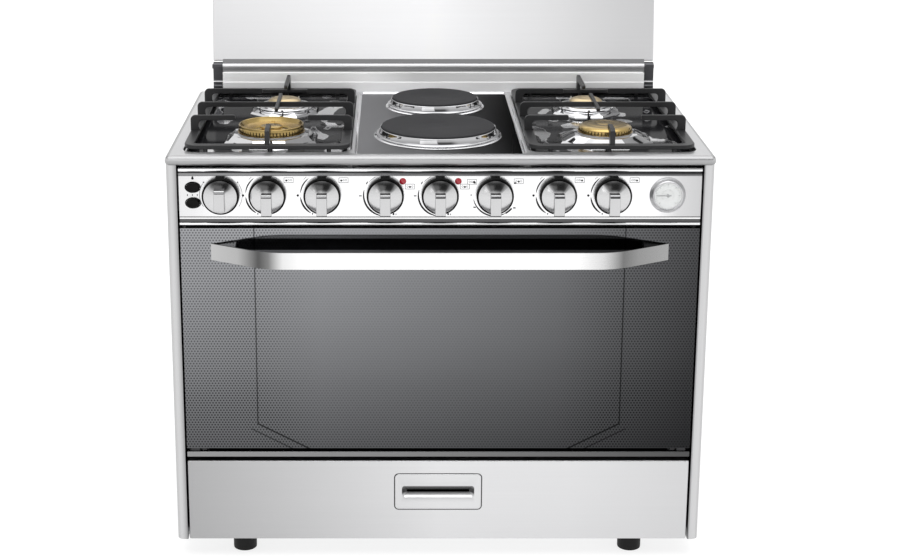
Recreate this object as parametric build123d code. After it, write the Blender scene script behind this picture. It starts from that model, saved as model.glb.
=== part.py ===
from build123d import *
import os
from math import atan2, cos, degrees, radians, sin

# A free-standing dual fuel range cooker in millimetres.
# X runs to the right, Y to the back and Z up. Sizes below are measured from the hob's front
# edge (y = 0) and from the floor (z = 0). The last lines move everything so that the origin
# is on the floor under the middle of the whole cooker.

# Overall sizes
cooker_width = 1000.0
hob_depth = 600.0
hob_height = 795.0
foot_height = 36.0
sheet = 1.2
front_setback = 10.0
seam = 1.5
touch_gap = 0.3
running_gap = 0.05

# Hob
hob_edge = 18.0
hob_bullnose = 9.0
hob_return = 14.0
well_depth = 7.0
well_corner = 24.0
well_side_margin = 27.0
well_front_margin = 36.0
well_rear_margin = 14.0
tray_half_width = 157.0
tray_depth = 4.0
tray_front_margin = 22.0
ridge_width = 5.0

# Gas burners
front_burner_x = 317.0
rear_burner_x = 307.0
front_burner_y = 171.0
rear_burner_y = 425.0
pedestal_rise = 6.0
pedestal_radius_front = 94.0
pedestal_radius_rear = 74.0
wok_crown_radius = 62.0
rapid_crown_radius = 50.5
small_crown_radius = 33.0
crown_height = 15.0
small_crown_height = 12.0
crown_wall = 12.0
burner_flange = 3.0
burner_body_depth = 30.0
flame_slot_width = 2.0
flame_slot_height = 6.0
flame_slot_depth = 5.0
crown_lift = 60.0
electrode_radius = 3.0
electrode_reach = 5.5

# Electric hotplates
front_plate_y = 193.0
rear_plate_y = 462.0
front_plate_radius = 108.0
rear_plate_radius = 87.0
plate_top = 16.0
plate_thickness = 12.0
plate_ring_reach = 11.0
plate_pot_radius = 62.0
plate_pot_depth = 22.0

# Pan supports
support_clearance = 2.0
support_front_gap = 14.0
support_bar = 18.0
support_bar_height = 8.0
support_height = 38.0
finger_thickness = 10.0
finger_width = 6.0
finger_gap_front = 69.0
finger_gap_rear = 45.0
finger_offset = 9.0
finger_bend = 8.0
bridge_y = 302.0
fin_gap = 3.0
support_foot = 8.0
support_foot_radius = 4.0
support_foot_inset = 40.0
support_lift = 90.0

# Corner posts and cabinet
post_width = 22.0
post_flat = 9.0
post_depth = 35.0
post_sheet = 1.5
back_inset = 5.0
flange = 18.0
vent_slot = 70.0
vent_slot_height = 5.0
vent_pitch = 95.0
vent_rows = 3
vent_columns = 5

# Control panel
panel_top_gap = 5.0
panel_height = 108.3
rail_gap = 1.0
panel_face_inset = 2.0
bead_height = 8.5
cove_height = 6.5
lip_height = 5.4
low_cove_height = 10.8
button_inset = 49.0
knob_positions = (-4.0, -3.15, -2.15, -1.0, 0.0, 1.0, 2.15, 3.15)
gas_knobs = (0, 1, 2, 6, 7)
electric_knobs = (3, 4, 5)
knob_drop = 75.0
knob_radius = 31.5
knob_dome = 13.0
knob_reach = 40.0
knob_grip_width = 19.0
knob_grip_top = 10.0
knob_grip_bottom = 31.0
knob_hub_radius = 7.0
spindle_radius = 4.0
bezel_radius = 34.0
bezel_hole = 24.0
bezel_thickness = 8.0
lamp_places = (-0.68, 0.33)
lamp_radius = 6.3
lamp_drop = 49.0
lamp_reach = 3.0
button_place = -4.51
button_spread = 29.4
button_width = 28.0
button_height = 22.0
button_reach = 8.0
button_travel = 4.0
thermometer_place = 4.15
thermometer_radius = 33.0
thermometer_face_radius = 25.0
thermometer_reach = 9.0
thermometer_can_radius = 27.0
thermometer_can_depth = 22.0
pointer_length = 20.0
pointer_shaft = 1.5

# Taps and pipes
rail_height = 66.0
valve_width = 26.0
valve_depth = 30.0
valve_drop = 30.0
valve_rise = 14.0
switch_width = 46.0
switch_height = 42.0
switch_depth = 34.0
manifold_radius = 8.0
pipe_radius = 4.0
pipe_detour = 40.0
inlet_radius = 10.5
inlet_length = 16.0
inlet_inset = 48.0
inlet_reach = 24.0

# Oven
oven_half_width = 380.0
oven_inside_height = 380.0
oven_depth = 445.0
oven_roof_drop = 42.0
insulation = 24.0
door_gap = 6.1
door_over_oven = 71.3
door_thickness = 40.0
door_glass = 4.0
frame_gap = 4.0
trim_height = 10.5
trim_gap = 7.1
window_half_width = 338.0
window_margin_top = 46.0
window_margin_bottom = 60.0
window_corner_x = 88.0
window_corner_z = 48.0
inner_glass_lap = 18.0
door_side_inset = 8.0
door_pivot_in = 14.0
door_pivot_up = 12.0
hinge_inset = 36.5
hinge_plate = 8.0
hinge_body = 15.0
hinge_eye_radius = 8.0
hinge_pin_radius = 4.0
seal_width = 12.0
seal_lap = 4.0
burner_tube_radius = 7.0
oven_burner_up = 12.0
floor_plate_up = 27.0
floor_vent = 50.0
floor_vents = 7
grill_radius = 4.0
grill_drop = 20.0
rack_rod = 2.5
rack_levels = (80.0, 180.0, 280.0)
rack_guard = 22.0
rack_inset = 8.0
shelf_level = 1
shelf_rod = 3.0
shelf_wire = 2.0
shelf_wires = 15
shelf_depth = 400.0
oven_lamp_radius = 24.0
oven_lamp_inset = 130.0
oven_lamp_up = 300.0

# Door handle
handle_half_width = 421.0
handle_reach = 60.0
handle_height = 32.0
handle_drop = 29.1
handle_strap = 3.0
handle_slope = 30.0
handle_bend = 130.0
grip_half_width = 322.0
grip_depth = 18.0
bracket_length = 40.0
grip_wall = 2.5
screw_radius = 3.0

# Drawer
drawer_gap = 8.4
drawer_front_depth = 18.0
drawer_box_inset = 26.5
drawer_box_rear = 540.0
drawer_box_floor = 16.0
drawer_box_drop = 19.9
runner_up = 70.0
runner_width = 16.0
runner_channel = 3.0
drawer_travel = 340.0
pull_width = 168.0
pull_height = 75.0
pull_corner = 9.0
pull_drop = 63.0
pull_slot_width = 138.0
pull_slot_height = 36.0
pull_pocket = 14.0

# Lid and rear strip
lid_side_inset = 25.0
lid_length = 585.0
lid_thickness = 10.0
lid_lean = 8.0
lid_axis_up = 52.0
lid_axis_y = 603.0
lid_tube_radius = 12.0
lid_end_gap = 0.5
lid_web = 30.0
lid_start = 12.0
lid_pin_radius = 5.0
lid_pin_length = 20.0
block_width = 26.0
block_radius = 11.5
upstand_height = 38.5
upstand_depth = 10.0
upstand_ledge = 18.0
upstand_ledge_depth = 3.0

# Feet
foot_radius = 22.5
foot_side_inset = 126.0
foot_inset = 55.0
foot_stem_radius = 5.0
foot_stem = 15.0
boss_radius = 10.0
boss_height = 14.0

# Terminal box
terminal_inset = 160.0
terminal_width = 80.0
terminal_height = 60.0
terminal_depth = 24.0
terminal_up = 560.0
cable_radius = 6.5
gland_radius = 11.0
gland_length = 18.0

# Places worked out from the sizes
half_width = cooker_width / 2
rim = hob_height
body_top = rim - hob_edge
body_back = hob_depth - back_inset
inner_side = half_width - sheet
post_inner = half_width - post_width
front_half = post_inner - seam
panel_top = body_top - panel_top_gap
panel_bottom = panel_top - panel_height
panel_face = front_setback + panel_face_inset
knob_z = rim - knob_drop
door_top = panel_bottom - door_gap
door_height = oven_inside_height + door_over_oven
door_bottom = door_top - door_height
door_back = front_setback + door_thickness
frame_y = door_back + frame_gap
frame_back = frame_y + sheet
drawer_top = door_bottom - drawer_gap
drawer_bottom = foot_height + 0.5
drawer_box_height = drawer_top - drawer_box_drop - drawer_bottom - drawer_box_floor
oven_roof = panel_bottom - oven_roof_drop
oven_floor = oven_roof - oven_inside_height
oven_rear = frame_back + oven_depth
rail_y = post_depth + front_setback + rail_gap
rail_back = rail_y + sheet
manifold_y = rail_back + valve_depth / 2
manifold_z = knob_z - valve_drop
middle_fin_x = (front_burner_x + rear_burner_x) / 2
well_floor = rim - well_depth
crown_seat = rim + pedestal_rise + burner_flange
well_inner = tray_half_width + ridge_width
well_outer = half_width - well_side_margin
well_front = well_front_margin
well_rear = hob_depth - well_rear_margin
hinge_plate_x = front_half - hinge_inset
drawer_box_half_width = front_half - drawer_box_inset
oven_lamp_x = oven_half_width - oven_lamp_inset
lid_half_width = half_width - lid_side_inset
lid_tube_half = lid_half_width - block_width - lid_end_gap
foot_x = half_width - foot_side_inset
terminal_x = terminal_inset - half_width
inlet_x = half_width - inlet_inset
pivot_y = front_setback + door_pivot_in
pivot_z = door_bottom + door_pivot_up
lid_axis_z = rim + lid_axis_up
knob_pitch = (button_inset - half_width) / button_place
knob_x = [knob_pitch * place for place in knob_positions]
lamp_x = [knob_pitch * place for place in lamp_places]
button_x = knob_pitch * button_place
thermometer_x = knob_pitch * thermometer_place
lean = radians(lid_lean)
cooker_front = front_setback - handle_reach
cooker_rear = lid_axis_y + lid_length * sin(lean) + lid_thickness / 2 * cos(lean)
centre_y = (cooker_front + cooker_rear) / 2

TURNS = {"x": Rot(0, 90, 0), "y": Rot(-90, 0, 0), "z": Rot(0, 0, 0)}


def slab(x0, x1, y0, y1, z0, z1):
    """A block between two corners."""
    middle = Pos((x0 + x1) / 2, (y0 + y1) / 2, (z0 + z1) / 2)
    return middle * Box(abs(x1 - x0), abs(y1 - y0), abs(z1 - z0))


def rod(radius, length, at, along="z"):
    """A round bar that starts at a point and runs along one axis."""
    bar = Cylinder(radius, length, align=(Align.CENTER, Align.CENTER, Align.MIN))
    return Pos(*at) * TURNS[along] * bar


def rounded_slab(x0, x1, y0, y1, z0, z1, corner, axis=Axis.Z):
    """A block whose edges along one axis are rounded."""
    block = slab(x0, x1, y0, y1, z0, z1)
    return fillet(block.edges().filter_by(axis), corner)


def pipe(points, radius, bend):
    """A round tube, solid, along straight runs joined by arcs."""
    path = FilletPolyline(*points, radius=bend)
    section = (path ^ 0) * Circle(radius)
    return sweep(section, path=path)


def both_sides(shape):
    """The shape and its mirror image on the other side of the cooker."""
    return [shape, mirror(shape, Plane.YZ)]


def group(solids):
    """Several separate solids kept in one node."""
    return Compound(children=list(solids))


def ellipse_bar(width, height, at, length):
    """An oval bar that starts at a point and runs to the back."""
    face = Plane(origin=at, x_dir=(1, 0, 0), z_dir=(0, 1, 0)) * Ellipse(width / 2, height / 2)
    return extrude(face, amount=length)


# Cabinet

def corner_post():
    """Right bright corner strip, a channel with a rounded outer front edge."""
    turn = post_width - post_flat
    start = (post_inner, front_setback)
    flat_end = (post_inner + post_flat, front_setback)
    mid = (half_width - turn * (1 - cos(radians(45))), front_setback + turn * (1 - sin(radians(45))))
    side = (half_width, front_setback + turn)
    rear = (half_width, front_setback + post_depth)
    inner_rear = (post_inner, front_setback + post_depth)
    outline = make_face(
        [
            Line(start, flat_end),
            ThreePointArc(flat_end, mid, side),
            Line(side, rear),
            Line(rear, inner_rear),
            Line(inner_rear, start),
        ]
    )
    hollow = offset(outline, amount=-post_sheet)
    strip = extrude(outline - hollow, amount=body_top - foot_height)
    strip = Pos(0, 0, foot_height) * strip
    rear_open = slab(
        post_inner + post_sheet, half_width - post_sheet,
        rear[1] - post_sheet - 1, rear[1] + 1, foot_height, body_top,
    )
    return strip - rear_open


def side_panel():
    """Right side sheet with flanges at the front, rear, top and bottom."""
    start = front_setback + post_depth
    inner = half_width - flange
    panel = slab(inner_side, half_width, start, body_back, foot_height, body_top)
    panel += slab(inner, inner_side, start, body_back, body_top - sheet, body_top)
    panel += slab(inner, inner_side, start, body_back, foot_height, foot_height + sheet)
    rear = body_back - sheet
    panel += slab(inner, inner_side, rear - sheet, rear, foot_height + sheet, body_top - sheet)
    panel -= slab(
        inner - 1, half_width + 1, rear, body_back + 1, foot_height - 1, body_top + 1
    )
    return panel - [
        rod(screw_radius - 0.95, 4 * sheet, (x, rear - 2 * sheet, z), "y")
        for x, z in back_screw_places()
        if x > 0
    ]


def back_screw_places():
    """Where the back panel is screwed to the side flanges."""
    x = half_width - flange / 2
    heights = [foot_height + 60.0, (foot_height + body_top) / 2, body_top - 60.0]
    return [(side * x, z) for side in (-1, 1) for z in heights]


def back_panel():
    """Rear sheet with cooling slots, the gas pipe hole and screw holes."""
    rear = body_back
    panel = slab(-half_width, half_width, rear - sheet, rear, foot_height, body_top)
    slots = []
    for row in range(vent_rows):
        for column in range(vent_columns):
            x = (column - (vent_columns - 1) / 2) * vent_pitch
            z = body_top - 40.0 - row * 3 * vent_slot_height
            slots.append(
                slab(x - vent_slot / 2, x + vent_slot / 2, rear - 2 * sheet, rear + 1, z, z + vent_slot_height)
            )
    holes = [rod(screw_radius - 0.95, 4 * sheet, (x, rear - 2 * sheet, z), "y") for x, z in back_screw_places()]
    gas = rod(manifold_radius + touch_gap, 4 * sheet, (inlet_x, rear - 2 * sheet, manifold_z), "y")
    cable = rod(cable_radius, 4 * sheet, (terminal_x, rear - 2 * sheet, terminal_up), "y")
    return panel - slots - holes - [gas, cable]


def back_screw(x, z):
    """One pan-head screw of the back panel."""
    head = rod(screw_radius + 1.0, 2.2, (x, body_back, z), "y")
    return head + rod(screw_radius - 1.0, 8.0 + 0.5, (x, body_back - 8.0, z), "y")


def foot_places():
    """Middle of each foot."""
    return [(side * foot_x, y) for side in (-1, 1) for y in (foot_inset, body_back - foot_inset)]


def foot(x, y):
    """A levelling foot: black pad and threaded stem."""
    pad = rod(foot_radius, foot_height, (x, y, 0))
    pad = chamfer(pad.edges().sort_by(Axis.Z)[0], 2.0)
    return pad + rod(foot_stem_radius, foot_stem, (x, y, foot_height))


def base_frame():
    """Bottom sheet with foot bosses, a rear wall and the two drawer rails."""
    front = front_setback + post_depth
    rear = body_back - 2 * sheet
    inner = half_width - flange
    level = foot_height
    base = slab(-inner, inner, front, rear, level, level + sheet)
    base += slab(-inner, inner, front, front + sheet, level, level + drawer_box_floor / 2)
    for x, y in foot_places():
        base += rod(boss_radius, boss_height, (x, y, level))
        base -= rod(foot_stem_radius + running_gap, foot_stem + 1, (x, y, level - 1))
    ledge = drawer_bottom + runner_up - touch_gap
    inside = drawer_box_half_width + 4.0
    web = drawer_box_half_width + runner_width + 4.0
    top = ledge + runner_channel
    rail = slab(inside, inner_side, front, rear, ledge - sheet, ledge)
    rail += slab(web, web + sheet, front, rear, ledge, top)
    rail += slab(inside, web + sheet, front, rear, top, top + sheet)
    for leg in (front, rear - 40.0):
        rail += slab(web, web + sheet, leg, leg + 40.0, level, ledge)
    for side in both_sides(rail):
        base += side
    return base


# Hob

def burners():
    """Each burner: its place, crown radius and pedestal radius."""
    return {
        "left_front": (-front_burner_x, front_burner_y, wok_crown_radius, pedestal_radius_front),
        "right_front": (front_burner_x, front_burner_y, rapid_crown_radius, pedestal_radius_front),
        "left_rear": (-rear_burner_x, rear_burner_y, small_crown_radius, pedestal_radius_rear),
        "right_rear": (rear_burner_x, rear_burner_y, small_crown_radius, pedestal_radius_rear),
    }


def hotplate_places():
    """Each hotplate: its place along the cooker and its radius."""
    return [(front_plate_y, front_plate_radius), (rear_plate_y, rear_plate_radius)]


def pedestal(x, y, crown, radius, drop):
    """An eight-sided pressed dish that a burner stands on."""
    low = Pos(x, y, well_floor - drop) * RegularPolygon(radius, 8, rotation=22.5)
    high = Pos(x, y, rim + pedestal_rise - drop) * RegularPolygon(crown + 8.0, 8, rotation=22.5)
    return loft([low, high])


def electrode_place(x, y, crown):
    """Where the spark electrode stands beside a burner crown."""
    side = -1 if x > 0 else 1
    reach = (crown + electrode_reach) * sin(radians(45))
    return x + side * reach, y + reach


def burner_neck(crown):
    """Radius of the burner body under its flange."""
    return crown - crown_wall


def hob_top():
    """Pressed hob sheet with two wells, a middle tray and raised burner dishes."""
    outer = rounded_slab(-half_width, half_width, 0, hob_depth, body_top, rim, hob_bullnose)
    outer = fillet(outer.faces().sort_by(Axis.Z)[-1].edges(), hob_bullnose - 0.5)
    inside = rounded_slab(
        -inner_side, inner_side, sheet, hob_depth - sheet,
        body_top + sheet, rim - sheet, hob_bullnose - sheet,
    )
    inside = fillet(inside.faces().sort_by(Axis.Z)[-1].edges(), hob_bullnose - sheet - 0.6)
    below = slab(
        hob_return - half_width, half_width - hob_return,
        hob_return, hob_depth - hob_return, body_top - 1, body_top + 2 * sheet,
    )
    hob = outer - inside - below
    recesses = [(-tray_half_width, tray_half_width, tray_front_margin, tray_depth)]
    for side in (-1, 1):
        x0, x1 = sorted((side * well_inner, side * well_outer))
        recesses.append((x0, x1, well_front, well_depth))
    for x0, x1, front, depth in recesses:
        low = rim - depth
        hob += rounded_slab(
            x0 - sheet, x1 + sheet, front - sheet, well_rear + sheet, low - sheet, rim - sheet / 2,
            well_corner + sheet,
        )
        hob -= rounded_slab(x0, x1, front, well_rear, low, rim + 1, well_corner)
    for x, y, crown, radius in burners().values():
        hob += pedestal(x, y, crown, radius, 0)
        hob -= pedestal(x, y, crown, radius - sheet, sheet)
        hob -= rod(burner_neck(crown) + touch_gap, 4 * hob_edge, (x, y, body_top - hob_edge))
        ex, ey = electrode_place(x, y, crown)
        hob -= rod(electrode_radius + touch_gap, 4 * hob_edge, (ex, ey, body_top - hob_edge))
    for y, radius in hotplate_places():
        hob -= rod(radius - 8.0, 4 * hob_edge, (0, y, body_top - hob_edge))
    return hob


def burner_body(x, y, crown):
    """Aluminium burner cup under a crown, with its gas mixing cone."""
    neck = burner_neck(crown)
    top = crown_seat
    cup = rod(crown + 2.0, burner_flange, (x, y, top - burner_flange))
    cup += rod(neck, burner_body_depth, (x, y, top - burner_body_depth))
    cup -= rod(neck - 3.0, burner_body_depth, (x, y, top - burner_body_depth + 3.0))
    return cup


def slots(x, y, radius, count, base):
    """Flame slots round a crown's rim."""
    cuts = []
    for turn in range(count):
        angle = 360.0 * turn / count
        cut = Box(flame_slot_depth * 2, flame_slot_width, flame_slot_height)
        place = Pos(x, y, base + flame_slot_height / 2) * Rot(0, 0, angle) * Pos(radius, 0, 0)
        cuts.append(place * cut)
    return cuts


def ring_crown(x, y):
    """Open brass crown of the large burner: slotted ring, three spokes and a small inner cap."""
    base = crown_seat
    radius = wok_crown_radius
    hollow = radius - crown_wall
    ring = rod(radius, crown_height, (x, y, base))
    ring = chamfer(ring.edges().sort_by(Axis.Z)[-1], 2.5)
    bowl = Pos(x, y, base + 3.0) * Cone(
        hollow - 10.0, hollow, crown_height, align=(Align.CENTER, Align.CENTER, Align.MIN)
    )
    ring -= bowl
    ring -= rod(hollow - 12.0, crown_height, (x, y, base - 1))
    for turn in range(3):
        spoke = slab(0, hollow - 6.0, -5.0, 5.0, 0, 4.0)
        ring += Pos(x, y, base) * Rot(0, 0, 90 + 120 * turn) * spoke
    ring += rod(hollow * 0.36, crown_height - 3.0, (x, y, base))
    return ring - slots(x, y, radius, 44, base + 2.0)


def cap_crown(x, y, radius, height, count):
    """Closed brass crown with flame slots and a slightly domed top."""
    base = crown_seat
    crown = rod(radius, height, (x, y, base))
    crown = chamfer(crown.edges().sort_by(Axis.Z)[-1], 4.0, 6.0)
    crown -= rod(radius - crown_wall, height - 4.0, (x, y, base - 1))
    return crown - slots(x, y, radius, count, base + 1.5)


def electrode(x, y, crown):
    """Ceramic spark electrode with its steel tip."""
    ex, ey = electrode_place(x, y, crown)
    low = crown_seat - burner_body_depth
    pin = rod(electrode_radius, burner_body_depth + 4.0, (ex, ey, low))
    return pin + rod(1.0, 6.0, (ex, ey, crown_seat + 3.0))


def hotplate(y, radius):
    """Sealed cast iron hotplate with its heater pot below."""
    top = rim + plate_top
    plate = rod(radius, plate_thickness, (0, y, top - plate_thickness))
    plate = fillet(plate.edges().sort_by(Axis.Z)[-1], 2.5)
    plate -= rod(radius - 10.0, plate_thickness - 6.0, (0, y, top - plate_thickness - 1))
    plate += rod(4.0, plate_pot_depth, (0, y, top - plate_thickness - plate_pot_depth + 6.0))
    pot = rod(plate_pot_radius, 3.0, (0, y, top - plate_thickness - 4.0))
    pot += rod(plate_pot_radius * 0.5, plate_pot_depth, (0, y, top - plate_thickness - plate_pot_depth))
    pot += rod(12.0, 6.0, (0, y, top - plate_thickness - 3.0))
    return plate + pot


def hotplate_ring(y, radius):
    """Bright spill ring between a hotplate and the hob, a revolved lip."""
    inner = radius + touch_gap
    outer = radius + plate_ring_reach
    base = rim - tray_depth
    seat = rim + plate_top - plate_thickness
    profile = make_face(
        Polyline(
            (inner - 12.0, base),
            (outer - 6.0, base),
            (outer - 6.0, base + 3.5),
            (outer, base + 5.0),
            (outer, base + 7.0),
            (inner + 2.5, base + 9.0),
            (inner + 2.5, rim + plate_top - 3.5),
            (inner, rim + plate_top - 3.5),
            (inner, seat),
            (inner - 12.0, seat),
            (inner - 12.0, base),
        )
    )
    profile = Plane.XZ * profile
    return Pos(0, y, 0) * revolve(profile, Axis.Z)


def support_rows():
    """The pan support's front fingers, bridge and rear fingers: place along, middle and half gap."""
    return [
        (front_burner_y + finger_offset, front_burner_x, finger_gap_front),
        (bridge_y, middle_fin_x, 0.0),
        (rear_burner_y + finger_offset, rear_burner_x, finger_gap_rear),
    ]


def support_frame():
    """Corners of a pan support's frame: inner, outer, front and rear."""
    x0 = well_inner + support_clearance
    x1 = well_outer - support_clearance
    return x0, x1, well_front + support_front_gap, well_rear - support_clearance


def finger(start, stop, y, base, crest):
    """One finger from its leg on the frame to its free end, with the bend above the leg rounded."""
    side = 1 if stop > start else -1
    half = finger_width / 2
    bar = slab(start, stop, y - half, y + half, base, crest)
    bend = bar.edges().filter_by(Axis.Y).group_by(Axis.Z)[-1].sort_by(Axis.X)[0 if side > 0 else -1]
    bar = fillet(bend, finger_bend)
    under = start + side * support_bar
    return bar - slab(under, stop + side, y - finger_width, y + finger_width, base - 1, crest - finger_thickness)


def pan_support():
    """Right pan support: base frame on feet, side fingers, middle bridge and lengthways fins."""
    x0, x1, y0, y1 = support_frame()
    base = well_floor + support_foot
    crest = rim + support_height
    bar_top = base + support_bar_height
    corner = well_corner - support_clearance
    frame = rounded_slab(x0, x1, y0, y1, base, bar_top, corner)
    frame -= rounded_slab(
        x0 + support_bar, x1 - support_bar, y0 + support_bar, y1 - support_bar,
        base - 1, bar_top + 1, corner - support_bar,
    )
    half = finger_width / 2
    for y, middle, gap in support_rows():
        frame += finger(x0, middle - gap, y, base, crest)
        frame += finger(x1, middle + gap, y, base, crest)
    low = crest - finger_thickness
    front_crown = max(wok_crown_radius, rapid_crown_radius)
    mid_near = front_burner_y + front_crown + fin_gap
    mid_far = rear_burner_y - small_crown_radius - fin_gap
    fins = [
        (front_burner_x, y0, front_burner_y - front_crown - fin_gap, y0),
        (middle_fin_x, mid_near, mid_far, None),
        (rear_burner_x, rear_burner_y + small_crown_radius + fin_gap, y1, y1 - support_bar),
    ]
    for x, near, far, post_y in fins:
        frame += slab(x - half, x + half, near, far, low, crest)
        if post_y is not None:
            frame += slab(x - half, x + half, post_y, post_y + support_bar, base, crest)
    for x in (x0 + support_foot_inset, middle_fin_x, x1 - support_foot_inset):
        for y in (y0 + support_bar / 2, y1 - support_bar / 2):
            frame += rod(support_foot_radius, support_foot + 0.5, (x, y, well_floor))
    return frame


# Control panel, taps and pipes

def control_panel():
    """Pressed fascia: a box channel with a bead and cove at the top and a cove and lip below."""
    face = panel_face
    proud = front_setback - 0.5
    back = rail_y
    top = panel_top
    bead = top - bead_height
    cove = bead - cove_height
    lip = panel_bottom + lip_height
    low_cove = lip + low_cove_height
    edges = [
        Line((back, top), (face + 1.5, top)),
        ThreePointArc((face + 1.5, top), (proud, (top + bead) / 2), (face + 1.5, bead)),
        Line((face + 1.5, bead), (face, cove)),
        Line((face, cove), (face, low_cove)),
        Line((face, low_cove), (face + 2.5, lip)),
        ThreePointArc((face + 2.5, lip), (proud + 0.5, (lip + panel_bottom) / 2), (face + 2.5, panel_bottom)),
        Line((face + 2.5, panel_bottom), (back, panel_bottom)),
        Line((back, panel_bottom), (back, top)),
    ]
    outline = Plane.YZ * make_face(edges)
    hollow = offset(outline, amount=-sheet)
    panel = extrude(outline, amount=front_half, both=True)
    panel -= extrude(hollow, amount=front_half - sheet, both=True)
    panel -= slab(
        sheet - front_half, front_half - sheet, back - 2 * sheet, back + 1,
        panel_bottom + sheet, panel_top - sheet,
    )
    depth = 3 * sheet + 4.0
    start = face - 2.0
    cuts = [rod(knob_hub_radius + 1.0, depth, (x, start, knob_z), "y") for x in knob_x]
    cuts += [rod(lamp_radius, depth, (x, start, rim - lamp_drop), "y") for x in lamp_x]
    cuts.append(rod(thermometer_can_radius, depth, (thermometer_x, start, knob_z), "y"))
    for z in button_levels():
        at = (button_x, start, z)
        cuts.append(ellipse_bar(button_width + 2 * touch_gap, button_height + 2 * touch_gap, at, depth))
    return panel - cuts


def button_levels():
    """Heights of the two push buttons, top first."""
    return [knob_z + button_spread / 2, knob_z - button_spread / 2]


def knob_bezel(x):
    """Black skirt ring behind a knob, fixed to the panel."""
    ring = rod(bezel_radius, bezel_thickness, (x, panel_face - bezel_thickness, knob_z), "y")
    return ring - rod(bezel_hole, 2 * bezel_thickness, (x, panel_face - 1.5 * bezel_thickness, knob_z), "y")


def knob(x):
    """A domed knob with its bar grip, and the spindle that it turns."""
    base = panel_face - bezel_thickness - touch_gap * 2
    ball = (knob_radius**2 + knob_dome**2) / (2 * knob_dome)
    dome = Pos(x, base - knob_dome + ball, knob_z) * Sphere(ball)
    dome &= rod(knob_radius, knob_dome + 1, (x, base - knob_dome - 1, knob_z), "y")
    tip = panel_face - knob_reach
    half = knob_grip_width / 2
    side = make_face(
        Polyline(
            (base - 2.0, knob_z + knob_grip_top),
            (tip + 1.5, knob_z + knob_grip_top - 0.5),
            (tip, knob_z + knob_grip_top - 2.5),
            (tip, knob_z - knob_grip_bottom + 3.0),
            (tip + 3.0, knob_z - knob_grip_bottom),
            (base - 2.0, knob_z - knob_grip_bottom + 1.0),
            (base - 2.0, knob_z + knob_grip_top),
        )
    )
    grip = Pos(x, 0, 0) * extrude(Plane.YZ * side, amount=half, both=True)
    hub = rod(knob_hub_radius, panel_face - base + sheet, (x, base, knob_z), "y")
    body = dome + grip + hub
    seat = panel_face + sheet - 10.0
    body -= rod(spindle_radius + running_gap, 20.0, (x, seat, knob_z), "y")
    spindle = rod(spindle_radius, rail_back + 12.0 - seat, (x, seat, knob_z), "y")
    return group([body, spindle])


def indicator_lamp(x):
    """Red lens of a hotplate's indicator lamp."""
    z = rim - lamp_drop
    lens = rod(lamp_radius - running_gap, sheet + 8.0 + lamp_reach, (x, panel_face - lamp_reach, z), "y")
    lens = fillet(lens.edges().sort_by(Axis.Y)[0], 2.0)
    return lens + rod(lamp_radius + 1.5, 2.0, (x, panel_face + sheet, z), "y")


def push_button(z):
    """An oval push button kept in the panel by its rear collar."""
    button = ellipse_bar(button_width, button_height, (button_x, panel_face - button_reach, z), button_reach + 8.0)
    button = fillet(button.edges().sort_by(Axis.Y)[0], 2.5)
    behind = (button_x, panel_face + sheet + touch_gap, z)
    return button + ellipse_bar(button_width + 4.0, button_height + 4.0, behind, 2.0)


def thermometer_case():
    """Oven thermometer: bright bezel, can and dial plate in one."""
    z = knob_z
    front = panel_face - thermometer_reach
    case = rod(thermometer_radius, thermometer_reach, (thermometer_x, front, z), "y")
    case = chamfer(case.edges().sort_by(Axis.Y)[0], 4.0)
    case += rod(thermometer_can_radius - running_gap, thermometer_can_depth, (thermometer_x, panel_face - 1, z), "y")
    case -= rod(thermometer_face_radius, 6.0, (thermometer_x, front - 1, z), "y")
    return case - rod(pointer_shaft + running_gap, 12.0, (thermometer_x, front, z), "y")


def thermometer_pointer():
    """Pointer and its shaft."""
    front = panel_face - thermometer_reach
    z = knob_z
    x = thermometer_x
    shaft = rod(pointer_shaft, 9.0, (x, front + 2.4, z), "y")
    hub = rod(3.0, 1.6, (x, front + 2.4, z), "y")
    needle = slab(x - pointer_length, x + 7.0, front + 2.6, front + 3.6, z - 0.8, z + 0.8)
    return shaft + hub + needle


def thermometer_glass():
    """Flat glass over the dial."""
    front = panel_face - thermometer_reach
    return rod(thermometer_face_radius, 1.5, (thermometer_x, front + 0.3, knob_z), "y")


def tap_rail():
    """Steel rail that carries the gas taps and switches behind the panel."""
    low = manifold_z - manifold_radius
    rail = slab(-inner_side, inner_side, rail_y, rail_back, low, knob_z + rail_height / 2)
    cuts = [rod(knob_hub_radius, 4 * sheet, (x, rail_y - sheet, knob_z), "y") for x in knob_x]
    can = rod(thermometer_can_radius, 4 * sheet, (thermometer_x, rail_y - sheet, knob_z), "y")
    return rail - cuts - [can]


def gas_tap(x):
    """Gas tap clamped to the manifold, with a bore for its spindle."""
    half = valve_width / 2
    body = slab(
        x - half, x + half, rail_back, rail_back + valve_depth, manifold_z, knob_z + valve_rise
    )
    body -= rod(manifold_radius, 2 * valve_width, (x - valve_width, manifold_y, manifold_z), "x")
    return body - rod(spindle_radius + running_gap, 14.0, (x, rail_back - 1, knob_z), "y")


def rotary_switch(x):
    """Electric switch of a hotplate or of the oven."""
    half = switch_width / 2
    low = manifold_z + manifold_radius + 2.0
    body = slab(x - half, x + half, rail_back, rail_back + switch_depth, low, low + switch_height)
    return body - rod(spindle_radius + running_gap, 14.0, (x, rail_back - 1, knob_z), "y")


def push_switch(z):
    """Small switch behind a push button, standing on the tap rail."""
    start = panel_face + 8.0 + button_travel + touch_gap
    return slab(button_x - 9.0, button_x + 9.0, start, rail_y, z - 8.0, z + 8.0)


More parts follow.
